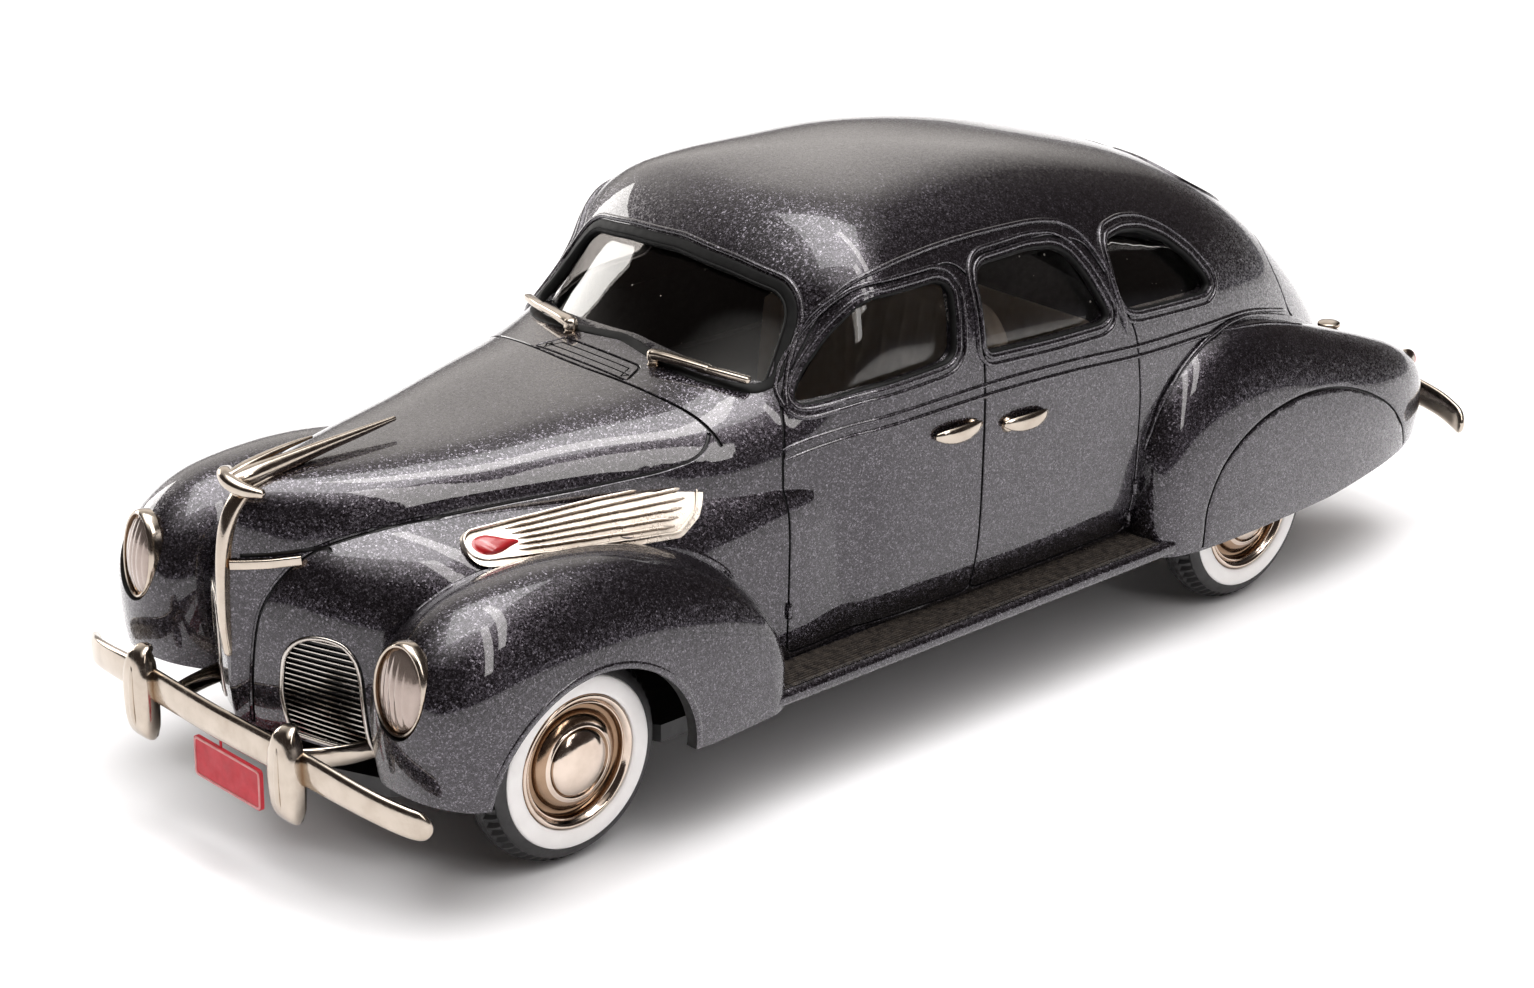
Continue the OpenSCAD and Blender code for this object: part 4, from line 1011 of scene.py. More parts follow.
# the drip moulding over the doors
roof_line = catmull([[-19.3, 28.0], [-18.7, 29.9], [-16.5, 33.2], [-13.9, 35.9], [-11.2, 37.35],
                     [-6, 37.85], [2, 37.85], [8.9, 37.35], [12.4, 36.0], [14.2, 33.0], [14.9, 30.0],
                     [15.5, 27.5]], 8)
moulding(roof_line, "left", 0.24, 0.3, closed=False, taper=True)
# a rolled lip round the front arch
t = np.linspace(0.02, math.pi - 0.1, 60)
arch_line = np.stack([ARCH_Y + 9.62 * np.cos(t), ARCH_Z + 9.0 * np.sin(t)], 1)
moulding(arch_line, "left", 0.24, 0.09, closed=False, taper=True)


def piping(points, half, rise, lift=0.0):
    """A fine bead laid along a valley of the casting, on both sides."""
    P, N = laid(points)
    n = len(P)
    scale = [min(1.0, 0.2 + 0.2 * min(i, n - 1 - i)) for i in range(n)]
    wire = [(-0.8 * half, -0.45), (0.8 * half, -0.45), (half, 0), (0.75 * half, 0.7 * rise),
            (0, rise), (-0.75 * half, 0.7 * rise), (-half, 0)]
    mouldings.extend(both(outward(sweep(P + N * lift, N, wire, False, scale))))


front_valley = meeting(CATWALK, FRONT_FENDER, -53.4, -24.2)
rear_valley = meeting(MAIN, REAR_FENDER, 18.6, 51.5)
piping(front_valley, 0.2, 0.2, 0.34)
piping(rear_valley, 0.2, 0.2, 0.3)
piece("body_mouldings", join(mouldings), "body", "paint", mats=[PAINT], smooth=50)

# Hinge knuckles low on the doors' edges
knuckles = []
for y, z in ((-20.6, 13.4), (17.4, 13.8), (17.4, 10.9)):
    p, nrm = cast((40, y, z), (-1, 0, 0))
    barrel = lathe([(0, 0.62), (0.2, 0.6), (0.26, 0.5), (0.26, -0.5), (0.2, -0.6), (0, -0.62)], 20)
    knuckles += both(place(barrel, UPRIGHT, p + nrm * 0.08))
piece("hinge_knuckles", join(knuckles), "body", "paint", mats=[PAINT], smooth=50)


def board_mat():
    """The rubbed mat of a running board, with fine ribs along it."""
    ribs = []
    for i in range(9):
        x = 18.0 + i * 0.3
        ribs.append(bar([[x, -24.6, 9.3, 0.1, 0.1], [x, 18.0, 9.3, 0.1, 0.1]], steps=30, around=8, cap=False))
    base = prism(rounded([[17.0, 9.2], [20.55, 9.2], [20.6, 9.3], [17.0, 9.33]], 0.04), -24.9, 18.3, 1)
    return join([base] + ribs)


pair("running_board_mat", board_mat(), "body", "paint", (None, None), mats=[MAT], smooth=40)

# Window gaskets inside each opening, and the black channel round the windscreen
gaskets = []
for w in (front_window, rear_window, quarter_window):
    P, N = laid_on(offset(w, 0.02), "left", 0.3)
    gaskets += both(outward(sweep(P - N * 0.4, N, oval(0.22, 0.36), True)))
surround = offset(windscreen, 0.42)
surround[:, 1] += 0.4 * np.clip((31.6 - surround[:, 1]) / 0.8, 0, 1)
P, N = laid_on(surround, "front", 0.3)
gaskets.append(outward(sweep(P, N, oval(0.42, 0.1, 14, 3.0), True)))
P, N = laid_on(offset(windscreen, 0.02), "front", 0.3)
gaskets.append(outward(sweep(P - N * 0.25, N, oval(0.18, 0.34), True)))
P, N = laid_on(offset(tail_window, 0.05), "back", 0.3)
gaskets += both(outward(sweep(P - N * 0.45, N, oval(0.2, 0.3), True)))
piece("window_gaskets", join(gaskets), "body", "base_black", mats=[GASKET], smooth=50)

# Glazing: films formed to the inside of the casting
film = boolean(loft(MAIN, 1.12, 4, 20), loft(MAIN, 1.4, 4, 20), "DIFFERENCE")
front_pane = boolean(film, prism(even(offset(windscreen, 0.7), 0.5, True), -24, -11, 1), "INTERSECT")
piece("windscreen_pane", front_pane, "body", "glazing", node="windscreen", mats=[GLAZING], smooth=40)
side_zone = rounded([[-18.9, 27.4], [-18.9, 29.2], [-13.2, 36.4], [-11.5, 37.2], [12, 37], [19, 35.8],
                     [24.5, 33.6], [28.2, 29], [28, 27.4]], 0.5)
side_pane = boolean(film, prism(side_zone, 13.9, 20, 0), "INTERSECT")
pair("side_panes", side_pane, "body", "glazing", ("side_glazing_left", "side_glazing_right"),
     mats=[GLAZING], smooth=40)
back_zone = rounded([[-9, 30.2], [-9, 33.6], [-6.5, 36.2], [6.5, 36.2], [9, 33.6], [9, 30.2]], 1.0)
back_pane = boolean(film, prism(back_zone, 24, 45, 1), "INTERSECT")
piece("rear_window_pane", back_pane, "body", "glazing", node="rear_window", mats=[GLAZING], smooth=40)


# ---- Wheels: drawn with the outer face at z = 0 and turned on to their axles
TREAD_STEPS = 240
TYRE_R, TYRE_W = 8.1, 4.2
tyre_profile = [(5.3, -3.4), (5.2, -0.6), (5.25, -0.5), (6.62, -0.5), (6.64, -0.17), (6.85, -0.2),
                (7.1, -0.32), (7.3, -0.46), (7.42, -0.56), (7.44, -0.7), (7.56, -0.76), (7.75, -0.98),
                (7.93, -1.3), (8.04, -1.62), (8.06, -1.7), (8.0, -1.74), (8.0, -1.86), (8.07, -1.9),
                (8.1, -2.1), (8.07, -2.3), (8.0, -2.34), (8.0, -2.46), (8.06, -2.5), (8.04, -2.6),
                (7.93, -2.9), (7.75, -3.22), (7.56, -3.44), (7.44, -3.5), (7.42, -3.64), (7.1, -3.9),
                (6.2, -4.19), (5.5, -4.1)]


def tread(i, j):
    """How far point i of the tyre's profile moves out at step j round it."""
    lug = j % 4 < 2
    if 10 <= i <= 13 or 23 <= i <= 26:
        return 0.0 if lug else -0.34
    if i in (14, 17, 18, 19, 22):
        return 0.0 if (j + 2) % 4 < 2 else -0.08
    return 0.0


hub_profile = [(0, 0.60), (0.5, 0.59), (1.0, 0.55), (1.5, 0.46), (1.95, 0.32), (2.3, 0.14), (2.5, 0.0),
               (2.56, -0.08), (2.6, -0.14), (2.66, -0.12), (2.72, -0.06), (2.8, -0.06), (2.88, -0.13),
               (3.05, -0.17), (3.3, -0.27), (3.52, -0.42), (3.66, -0.58), (3.74, -0.74), (3.8, -0.88),
               (3.95, -0.95), (4.15, -0.93), (4.3, -0.84), (4.36, -0.68), (4.38, -0.5), (4.42, -0.42),
               (4.48, -0.4), (4.53, -0.43), (4.57, -0.45), (4.62, -0.4), (4.7, -0.28), (4.8, -0.17),
               (4.9, -0.11), (4.98, -0.1), (5.06, -0.13), (5.13, -0.2), (5.16, -0.32), (5.17, -3.3),
               (4.8, -3.4), (4.7, -1.5), (1.7, -1.6), (1.6, -3.7), (0.82, -3.72), (0.82, -1.3), (0, -1.3)]
white_profile = [(5.17, -0.48), (5.2, -0.18), (5.26, -0.1), (5.5, -0.03), (5.9, 0.0), (6.25, -0.01),
                 (6.45, -0.05), (6.56, -0.11), (6.62, -0.2), (6.62, -0.48)]


def wheel(side, face_x, y, end, body):
    """Tyre, white wall and disc of one wheel, on its axle."""
    place_name = end + ("_left" if side > 0 else "_right")
    # local z looks outwards along +X on the left and -X on the right
    axes = [(0, side, 0), (0, 0, 1), (side, 0, 0)]
    origin = (side * face_x, y, TYRE_R)
    tyre = place(lathe(tyre_profile, TREAD_STEPS, True, tread), axes, origin)
    piece("tyre_" + place_name, tyre, body, "rubber", [RUBBER], "tyre_" + place_name, smooth=35)
    ring = place(lathe(white_profile, 144, True), axes, origin)
    piece("whitewall_" + place_name, ring, body, "white_rubber", [WHITE], "whitewall_" + place_name, smooth=40)
    disc = place(lathe(hub_profile, 144), axes, origin)
    # the recessed rings take the darker brown copy, a painted reflection and shade
    reach = [math.hypot(p.center.y - y, p.center.z - TYRE_R) for p in disc.polygons]
    disc.materials.append(HUB)
    disc.materials.append(HUB_DISH)
    disc.polygons.foreach_set("material_index", [int(2.5 < r < 2.74 or 3.05 < r < 4.36) for r in reach])
    piece("wheel_disc_" + place_name, disc, body, "chrome", (), "wheel_disc_" + place_name, smooth=40)


for end, face, y, body in (("front", 18.1, -42.0, "front_axle_set"), ("rear", 19.3, 31.8, "rear_axle_set")):
    for side in (1, -1):
        wheel(side, face, y, end, body)


# ---- Bumpers
BLADE = [[-20.5, 3.6, -1.95, 0.4, 1.02], [-19.2, 2.4, -1.5, 0.46, 1.16], [-16, 1.2, -0.8, 0.48, 1.18],
         [-9, 0.35, -0.1, 0.5, 1.3], [0, 0, 0, 0.5, 1.3], [9, 0.35, -0.1, 0.5, 1.3],
         [16, 1.2, -0.8, 0.48, 1.18], [19.2, 2.4, -1.5, 0.46, 1.16], [20.5, 3.6, -1.95, 0.4, 1.02]]


def blade(y, z, turn, k):
    """A bumper blade: a fuller front face over a flat back."""
    R = catmull([[r[0] * k, y + turn * r[1], z + r[2], r[3], r[4]] for r in BLADE], 10)
    P = R[:, :3]
    out = unit(np.cross(along(P), (0, 0, 1)))
    if (out[len(out) // 2][1] > 0) != (y > 0):
        out = -out
    n, L, V = 36, len(P), []
    for i in range(L):
        t = min(i, L - 1 - i)
        end = math.sin(math.radians((12, 25, 38, 50, 61, 71, 81, 90)[min(t, 7)]))
        for j in range(n):
            a = 2 * math.pi * j / n
            c, s = math.cos(a), math.sin(a)
            # the front is a full crown over a flatter back
            depth = R[i, 3] * (1.0 if c > 0 else 0.7) * np.sign(c) * abs(c) ** 0.75 * end ** 0.5
            high = R[i, 4] * np.sign(s) * abs(s) ** 0.8 * end
            V.append(P[i] + out[i] * depth + np.array([0, 0, high]))
    return outward(to_mesh(V, ring_faces(L, n)))


bright("front_bumper_blade", blade(-60.75, 10.9, 1, 1.0), "front_bumper")
bright("rear_bumper_blade", blade(60.75, 11.7, -0.55, 1.04), "rear_bumper")


def overriders(y, turn, raised=0.0):
    out = []
    for x in (-9, 9):
        rows = [[x, y + turn * 0.75, 6.6, 0.7, 0.35], [x, y + turn * 0.4, 6.8, 1.08, 0.62],
                [x, y + turn * 0.1, 7.6, 1.38, 0.84], [x, y, 9.4, 1.54, 0.9], [x, y, 11.2, 1.5, 0.9],
                [x, y + turn * 0.05, 12.15, 1.28, 0.86], [x, y + turn * 0.2, 12.85, 1.06, 0.76],
                [x, y + turn * 0.5, 13.3, 0.78, 0.5], [x, y + turn * 0.75, 13.42, 0.5, 0.3]]
        for r in rows:
            r[2] += raised
        out.append(outward(bar(rows, up=(0, -1, 0), around=28, steps=6, power=3.6)))
        # the raised spine down the front
        face = y - turn * 0.84
        spine = [[x, face + turn * 0.3, 7.4, 0.2, 0.14], [x, face, 8.4, 0.28, 0.16],
                 [x, face, 11.4, 0.28, 0.16], [x, face + turn * 0.35, 12.7, 0.2, 0.14]]
        out.append(outward(bar([[r[0], r[1], r[2] + raised, r[3], r[4]] for r in spine], up=(0, -1, 0),
                               steps=6)))
    return join(out)


bright("front_overriders", overriders(-61.02, 1), "front_overriders")
bright("rear_overriders", overriders(61.02, -1, -0.45), "rear_overriders")
irons = [[6.4, -60.2, 10.2, 0.3, 0.75], [7.6, -58.4, 9.9, 0.3, 0.8], [8.6, -55.6, 9.7, 0.3, 0.8],
         [9.0, -53.0, 9.6, 0.3, 0.8]]
bright("front_bumper_irons", join(both(outward(bar(irons)))), "front_bumper_irons")
irons = [[7, 60.2, 11.0, 0.3, 0.75], [7.3, 58.4, 11.2, 0.3, 0.8], [7.4, 56, 11.7, 0.3, 0.8],
         [7.4, 53.5, 11.7, 0.3, 0.8]]
bright("rear_bumper_irons", join(both(outward(bar(irons)))), "rear_bumper_irons")


def number_plate(x, y, z, face):
    """A blank plate with a raised pale border; face is -1 to the front and 1 to the back."""
    w, h = 4.1, 1.6
    edge = rounded([[-w, -h], [w, -h], [w, h], [-w, h]], 0.4)
    mats = [RED_PLATE, PLATE_EDGE]
    plate = prism(edge + [x, z], min(y, y - face * 0.3), max(y, y - face * 0.3), 1, mats, 0)
    rim = offset(edge, -0.14) + [x, z]
    Q = even(rim, 0.3, True)
    P = np.array([[p[0], y, p[1]] for p in Q])
    N = np.tile([0, face, 0], (len(P), 1))
    bead = outward(sweep(P, N, oval(0.1, 0.08, 8), True))
    bead.polygons.foreach_set("material_index", [1] * len(bead.polygons))
    behind = y - face * 0.25
    tab = outward(bar([[x - 1, behind, z + h - 0.1, 0.1, 0.1], [x - 1, behind, z + h + 1.6, 0.1, 0.1]],
                      up=(0, 1, 0)))
    return join([plate, bead, tab])


piece("front_number_plate", number_plate(0.4, -60.2, 6.7, -1), "body", "plate_red",
      node="front_number_plate", smooth=40)
piece("rear_number_plate", number_plate(0, 60.2, 7.5, 1), "body", "plate_red", node="rear_number_plate",
      smooth=40)


# ---- Headlamps, drawn round the origin facing -Y


def lamp_shell(depth, inset, flutes=0.0, rings=26, around=132, y0=0.0):
    """A domed oval; flutes are fine upright waves in its face."""
    V = []
    for i in range(rings + 1):
        k = i / rings
        for j in range(around):
            t = 2 * math.pi * j / around
            x, z = (LAMP_W - inset) * k * math.cos(t), (LAMP_H - inset) * k * math.sin(t)
            y = y0 - depth * (1 - k * k)
            if flutes:
                y -= flutes * abs(math.sin(x * 5.2)) * (1 - k ** 6)
            V.append((x, y, z))
    return V, rings, around


def lamp_mesh(front, back):
    """The solid between two shells that share an edge count."""
    (A, rings, n), (B, _, _) = front, back
    F = []
    off = len(A)
    for i in range(rings):
        for j in range(n):
            k = (j + 1) % n
            f = (i * n + j, i * n + k, (i + 1) * n + k, (i + 1) * n + j)
            F.append(f)
            F.append(tuple(v + off for v in reversed(f)))
    for j in range(n):
        k = (j + 1) % n
        F.append((rings * n + j, rings * n + k, off + rings * n + k, off + rings * n + j))
    me = to_mesh(lamp_place(A + B), F)
    me.validate()
    return outward(me)


lens = lamp_mesh(lamp_shell(0.72, 0.33, 0.075, y0=-0.2), lamp_shell(0.6, 0.33, 0.0, y0=-0.05))
pair("headlamp_lens", lens, "body", "lamp_glass", ("headlamp_lens_left", "headlamp_lens_right"),
     mats=[LAMP_GLASS], smooth=60)
bowl = lamp_mesh(lamp_shell(-0.55, 0.36, y0=0.0), lamp_shell(-0.75, 0.3, y0=0.05))
pair("headlamp_bowl", bowl, "body", "chrome", ("headlamp_bowl_left", "headlamp_bowl_right"),
     mats=[TRIM_METAL], smooth=60)


def lamp_rim():
    t = circle(96)
    P = np.stack([(LAMP_W - 0.22) * np.cos(t), 0 * t, (LAMP_H - 0.22) * np.sin(t)], 1)
    out = np.stack([np.cos(t) / LAMP_W, 0 * t, np.sin(t) / LAMP_H], 1)
    me = sweep(P, out, [(-0.52, -0.13), (-0.56, 0.0), (-0.45, 0.14), (-0.2, 0.22), (0.1, 0.24), (0.5, 0.2),
                        (0.5, -0.1), (0.1, -0.16), (-0.3, -0.16)], True)
    return outward(put(me, lamp_place(points(me))))


pair("headlamp_rim", lamp_rim(), "body", "chrome", ("headlamp_rim_left", "headlamp_rim_right"),
     mats=[NICKEL], smooth=50)


# ---- Grilles: a bright frame, fine bars across it and black behind
CATWALK_TREE = tree_of(loft(CATWALK, 0, 6, 40))


def on_catwalk(Q, d):
    """Points (x, z) seen from the front, laid on the catwalk and lifted d along its normal."""
    P, N = [], []
    for x, z in Q:
        loc, nor, _, _ = CATWALK_TREE.ray_cast(Vector((x, -90, z)), Vector((0, 1, 0)))
        P.append(np.array(loc) + np.array(nor) * d)
        N.append(np.array(nor))
    return np.array(P), np.array(N)


def within(outline, x, z):
    """Whether a point lies inside a closed 2-D outline."""
    a = np.asarray(outline)
    b = np.roll(a, -1, 0)
    run, rise = b[:, 0] - a[:, 0], b[:, 1] - a[:, 1]
    hit = ((a[:, 1] > z) != (b[:, 1] > z)) & (x < run * (z - a[:, 1]) / (rise + 1e-12) + a[:, 0])
    return hit.sum() % 2 == 1


def grille_mesh():
    mats = [GRILLE_METAL, DARK]
    edge = even(offset(grille, -0.2), 0.25, True)
    P, N = on_catwalk(edge, 0.02)
    frame_bead = outward(sweep(P, N, oval(0.17, 0.12, 10), True))
    parts = [frame_bead]
    inner = offset(grille, -0.3)
    count = 23
    for i in range(count):
        # the bars fan out, so that the lowest ones drop most towards the wing
        z0 = 10.2 + 8.9 * i / (count - 1)
        slope = -0.27 + (z0 - 10.2) * 0.022
        x = np.linspace(3.3, 9.6, 64)
        zz = z0 + slope * (x - 3.3) + 0.20 * (1 - ((x - 6.4) / 3.1) ** 2)
        keep = [k for k in range(64) if within(inner, x[k], zz[k])]
        if len(keep) < 5:
            continue
        P, N = on_catwalk(np.stack([x[keep], zz[keep]], 1), -0.16)
        parts.append(outward(sweep(P, N, [(-0.07, -0.2), (0.07, -0.2), (0.085, 0.0), (0.04, 0.12),
                                          (-0.04, 0.12), (-0.085, 0.0)])))
    for part in parts:
        for m in mats:
            part.materials.append(m)
    back = boolean(loft(CATWALK, 0.55, 3, 20, mats, 1), loft(CATWALK, 0.8, 3, 20, mats, 1), "DIFFERENCE")
    back = boolean(back, prism(even(offset(grille, -0.12), 0.4, True), -62, -50, 1, mats, 1), "INTERSECT")
    return join(parts + [back])


pair("grille", grille_mesh(), "body", "chrome", ("grille_left", "grille_right"), smooth=50)


# ---- Bright trim
strip_rows = [[0, -57.35, 27.7, 0.78, 0.55], [0, -58.25, 26.6, 0.72, 0.6], [0, -58.9, 25.2, 0.64, 0.6],
              [0, -59.3, 23.4, 0.54, 0.55], [0, -59.5, 21, 0.46, 0.48], [0, -59.5, 18, 0.42, 0.42],
              [0, -59.28, 15.85, 0.36, 0.34]]
bright("prow_strip_bar", outward(bar(strip_rows, up=(0, -1, 0.1), power=2.8)), "prow_strip")
nose_rows = [[0.6, -59.2, 22.75, 0.3, 0.36], [2.4, -57.65, 22.95, 0.3, 0.36], [3.4, -56.5, 23.1, 0.3, 0.36],
             [4.1, -55.6, 23.22, 0.3, 0.36]]
bright("nose_bar_pair", join(both(outward(bar(nose_rows, power=5, cap=False)))), "nose_bars", smooth=40)


def ornament():
    """A plain swept-back dart: a spear and a shorter blade behind a rounded cross-bar, on a foot."""
    spear = bar([[0, -58.4, 28.6, 0.5, 0.45], [0.05, -57.2, 28.7, 0.74, 0.66],
                 [0.1, -55.6, 28.8, 0.66, 0.74], [0.1, -53.2, 29.0, 0.5, 0.64],
                 [0.05, -50.2, 29.28, 0.38, 0.48], [0, -46.8, 29.55, 0.28, 0.33],
                 [0, -44.1, 29.8, 0.16, 0.18]], steps=8)
    fin = bar([[-0.35, -58.3, 28.9, 0.4, 0.36], [-0.6, -56.6, 29.25, 0.42, 0.3],
               [-0.85, -54.4, 29.5, 0.34, 0.24], [-1.0, -52.2, 29.65, 0.24, 0.18],
               [-1.05, -50.7, 29.72, 0.13, 0.1]], steps=8)
    cross = bar([[-1.75, -57.5, 28.75, 0.36, 0.34], [-1.1, -58.2, 28.85, 0.55, 0.5],
                 [0, -58.5, 28.6, 0.6, 0.55], [1.15, -58.1, 28.25, 0.55, 0.5],
                 [1.95, -57.3, 28.0, 0.38, 0.34]], steps=8)
    foot = bar([[0, -57.45, 27.3, 0.7, 0.7], [0, -57.75, 28.0, 0.58, 0.66], [0, -57.9, 28.5, 0.5, 0.55]],
               up=(0, 1, 0), steps=5)
    web = bar([[0.5, -57.6, 28.0, 0.3, 0.42], [0.45, -55.6, 28.35, 0.26, 0.36],
               [0.25, -53.2, 28.8, 0.16, 0.2]], steps=6)
    return join([outward(me) for me in (spear, fin, cross, foot, web)])


bright("bonnet_spear", ornament(), "bonnet_ornament", smooth=55)


def flank_slab(outline, lo, hi):
    """The solid over a (y, z) outline between two offsets of the bonnet's flank."""
    me = boolean(loft(CATWALK, -hi, 6, 36), prism(outline, 6, 20, 0), "INTERSECT")
    return carve(me, loft(CATWALK, -lo, 6, 36))


def on_flank(y, z, lift):
    """A point seen from the left, lifted off the bonnet's flank, and the normal there."""
    loc, nor, _, _ = CATWALK_TREE.ray_cast(Vector((40, y, z)), Vector((-1, 0, 0)))
    return np.array(loc) + np.array(nor) * lift, np.array(nor)


def flank_line(y0, z0, y1, z1, half, rise, lift, n=50):
    """A rib along the bonnet's flank between two (y, z) points."""
    y, z = np.linspace(y0, y1, n), np.linspace(z0, z1, n)
    P, N = zip(*(on_flank(a, b, lift) for a, b in zip(y, z)))
    scale = [min(1, 0.3 + 0.25 * min(i, n - 1 - i)) for i in range(n)]
    return outward(sweep(np.array(P), np.array(N), oval(half, rise, 10), False, scale))


trim_outline = even(rounded(TRIM, 0.3), 0.25, True)


def flank_trim():
    """The fluted plate: a slab, a raised edge all round, and fins that close up towards the front."""
    parts = [flank_slab(trim_outline, 0.03, 0.34)]
    P, N = zip(*(on_flank(a, b, 0.33) for a, b in even(offset(trim_outline, -0.16), 0.3, True)))
    parts.append(outward(sweep(np.array(P), np.array(N), oval(0.12, 0.2, 10), True)))
    for k in range(5):
        u = (k + 0.5) / 5
        y1 = -27.6 - 3.1 * u
        parts.append(flank_line(-42.2 - 1.0 * abs(u - 0.5), 23.95 - 1.35 * u, y1, 24.15 - 2.2 * u, 0.13,
                                0.3, 0.36))
    return join(parts)


pair("flank_trim", flank_trim(), "body", "chrome", ("bonnet_trim_left", "bonnet_trim_right"),
     mats=[TRIM_METAL], smooth=45)
BADGE = [[-45.75, 23.3], [-45.5, 23.6], [-44.7, 23.75], [-43.9, 23.62], [-43.1, 23.38], [-42.2, 23.15],
         [-43.1, 22.95], [-43.9, 22.78], [-44.8, 22.75], [-45.5, 22.95]]
badge_outline = even(catmull(BADGE, 6, True), 0.15, True)


def badge():
    """A drop of red enamel, fuller in the middle."""
    c = badge_outline.mean(0)
    V = []
    steps = 7
    n = len(badge_outline)
    for i in range(steps + 1):
        k = i / steps
        rise = 0.34 + 0.36 * math.sqrt(max(0, 1 - (1 - k) ** 3))
        V += [on_flank(*(c + (q - c) * (1 - k)), rise)[0] for q in badge_outline]
    base = tuple(reversed(range(n)))
    return outward(to_mesh(V, ring_faces(steps + 1, n, caps=False) + [base]))


pair("trim_drop", badge(), "body", "red_enamel", ("trim_badge_left", "trim_badge_right"),
     mats=[RED_ENAMEL], smooth=60)


def wiper():
    """A stout arm on a round pivot, carrying a shorter blade."""
    arm = bar([[4.75, -23.3, 31.15, 0.52, 0.34], [5.7, -23.1, 31.25, 0.55, 0.36],
               [7.9, -22.6, 31.2, 0.46, 0.3], [9.6, -22.15, 31.1, 0.4, 0.26]], steps=6, power=3.6)
    rubber = bar([[9.0, -22.35, 31.0, 0.32, 0.28], [10.8, -21.8, 30.95, 0.36, 0.3],
                  [12.7, -21.0, 30.75, 0.34, 0.28]], steps=6, power=3.6)
    turned = lathe([(0, 1.62), (0.3, 1.6), (0.5, 1.5), (0.56, 1.3), (0.56, 0.85), (0.46, 0.78),
                    (0.46, 0.55), (0.56, 0.45), (0.58, 0), (0, 0)], 36)
    pivot = place(turned, UPRIGHT, (4.85, -23.25, 29.95))
    return join([outward(arm), outward(rubber), pivot])


pair("wiper_arm", wiper(), "body", "chrome", ("wiper_left", "wiper_right"), mats=[NICKEL], smooth=50)


def handle(y, z, turn):
    """A lever over its boss; turn says which way it points."""
    def x_at(yy, zz):
        return cast((40, yy, zz), (-1, 0, 0))[0][0]
    rows = []
    for t, dz, lift, a, b in ((-2.5, 0.12, 0.3, 0.16, 0.3), (-1.9, 0.08, 0.5, 0.26, 0.52),
                              (-0.9, 0.0, 0.62, 0.34, 0.68), (0.2, 0, 0.6, 0.36, 0.7),
                              (1.1, 0.06, 0.5, 0.32, 0.6), (1.7, 0.14, 0.4, 0.26, 0.46),
                              (2.2, 0.2, 0.3, 0.14, 0.24)):
        yy, zz = y + turn * t, z + dz
        rows.append([x_at(yy, zz) + lift, yy, zz, a, b])
    lever = bar(rows, steps=6)
    button = lathe([(0, 0.42), (0.35, 0.4), (0.52, 0.3), (0.6, 0.12), (0.66, 0), (0.66, -0.5), (0, -0.5)], 36)
    at = y + turn * 1.6
    boss = place(button, [(0, 1, 0), (0, 0, 1), (1, 0, 0)], (x_at(at, z), at, z))
    return join([outward(lever), boss])


pair("door_levers", join([handle(-4.2, 24.2, 1), handle(2.9, 23.4, -1)]), "body", "chrome",
     ("door_handles_left", "door_handles_right"), mats=[NICKEL], smooth=50)

cap_profile = [(0, 2.8), (0.45, 2.79), (0.82, 2.74), (0.96, 2.66), (1.0, 2.52), (0.99, 2.4), (0.86, 2.28),
               (0.74, 2.16), (0.7, 1.9), (0.74, 1.5), (0.74, 0), (0, 0)]
cap = place(lathe(cap_profile, 48), UPRIGHT, (13.2, 48.9, 17.0))
bright("fuel_filler_cap", cap, "fuel_cap", smooth=40)

bright("boot_lever", outward(bar([[0, 53.6, 19.9, 0.22, 0.25], [0, 54.6, 19.3, 0.28, 0.3],
                                  [0, 56.0, 17.3, 0.3, 0.28], [0, 56.45, 15.9, 0.16, 0.16]],
                                 up=(0, 1, 0.6))), "boot_handle")


def tail_lamp():
    """A drop-shaped plated shell with a red lens at its back."""
    V, rings, n = [], 18, 40
    for i in range(rings + 1):
        t = math.pi * i / rings
        for j in range(n):
            q = 2 * math.pi * j / n
            V.append((16.3 + 0.72 * math.sin(t) * math.cos(q), 56.3 - 1.45 * math.cos(t),
                      15.1 + 1.16 * math.sin(t) * math.sin(q)))
    return outward(to_mesh(V, ring_faces(rings + 1, n), [NICKEL, RED_GLASS]))


lamp = boolean(tail_lamp(), loft(REAR_FENDER, -0.02, 4, 24), "DIFFERENCE")
lamp.polygons.foreach_set("material_index", [1 if p.center.y > 57.0 else 0 for p in lamp.polygons])
pair("tail_lamp_lens", lamp, "body", "red_lens", ("tail_lamp_left", "tail_lamp_right"), smooth=50)


# ---- Cabin
FLOOR_Z = 8.2


def bench(y, w, back, lean=0.0):
    """A bench with a rolled cushion and pleats across its width."""
    prof = catmull([[-6.7, 0], [-6.95, 2.5], [-6.8, 5], [-6.0, 6.2], [-3, 5.9], [-0.4, 5.4], [0.6, 7],
                    [1.1, 12], [1.5, back - 2.2], [2.0, back - 0.6], [2.7, back - 0.1], [3.3, back - 1.0],
                    [3.5, back - 5], [3.4, 0]], 5)
    n = 90
    V = []
    for i in range(n + 1):
        u = -1 + 2 * i / n
        x = w * u
        end = 1 - 0.5 * max(0, abs(u) - 0.93) / 0.07
        pleat = 0.22 * abs(math.sin(u * 7.5 * math.pi))
        for p, q in prof:
            k = pleat if (q > 4.5 and p < 1.9) else 0
            if abs(u) > 0.72 and q > back - 6:
                q = back - 6 + (q - back + 6) * math.cos((abs(u) - 0.72) / 0.28 * 1.25)
            p += lean * min(1.0, max(0.0, q - 7) / (back - 9))
            V.append((x, y + 0.02 + p * end - k, FLOOR_Z + 0.06 + q * (0.985 + 0.01 * end)))
    return outward(to_mesh(V, ring_faces(n + 1, len(prof))))


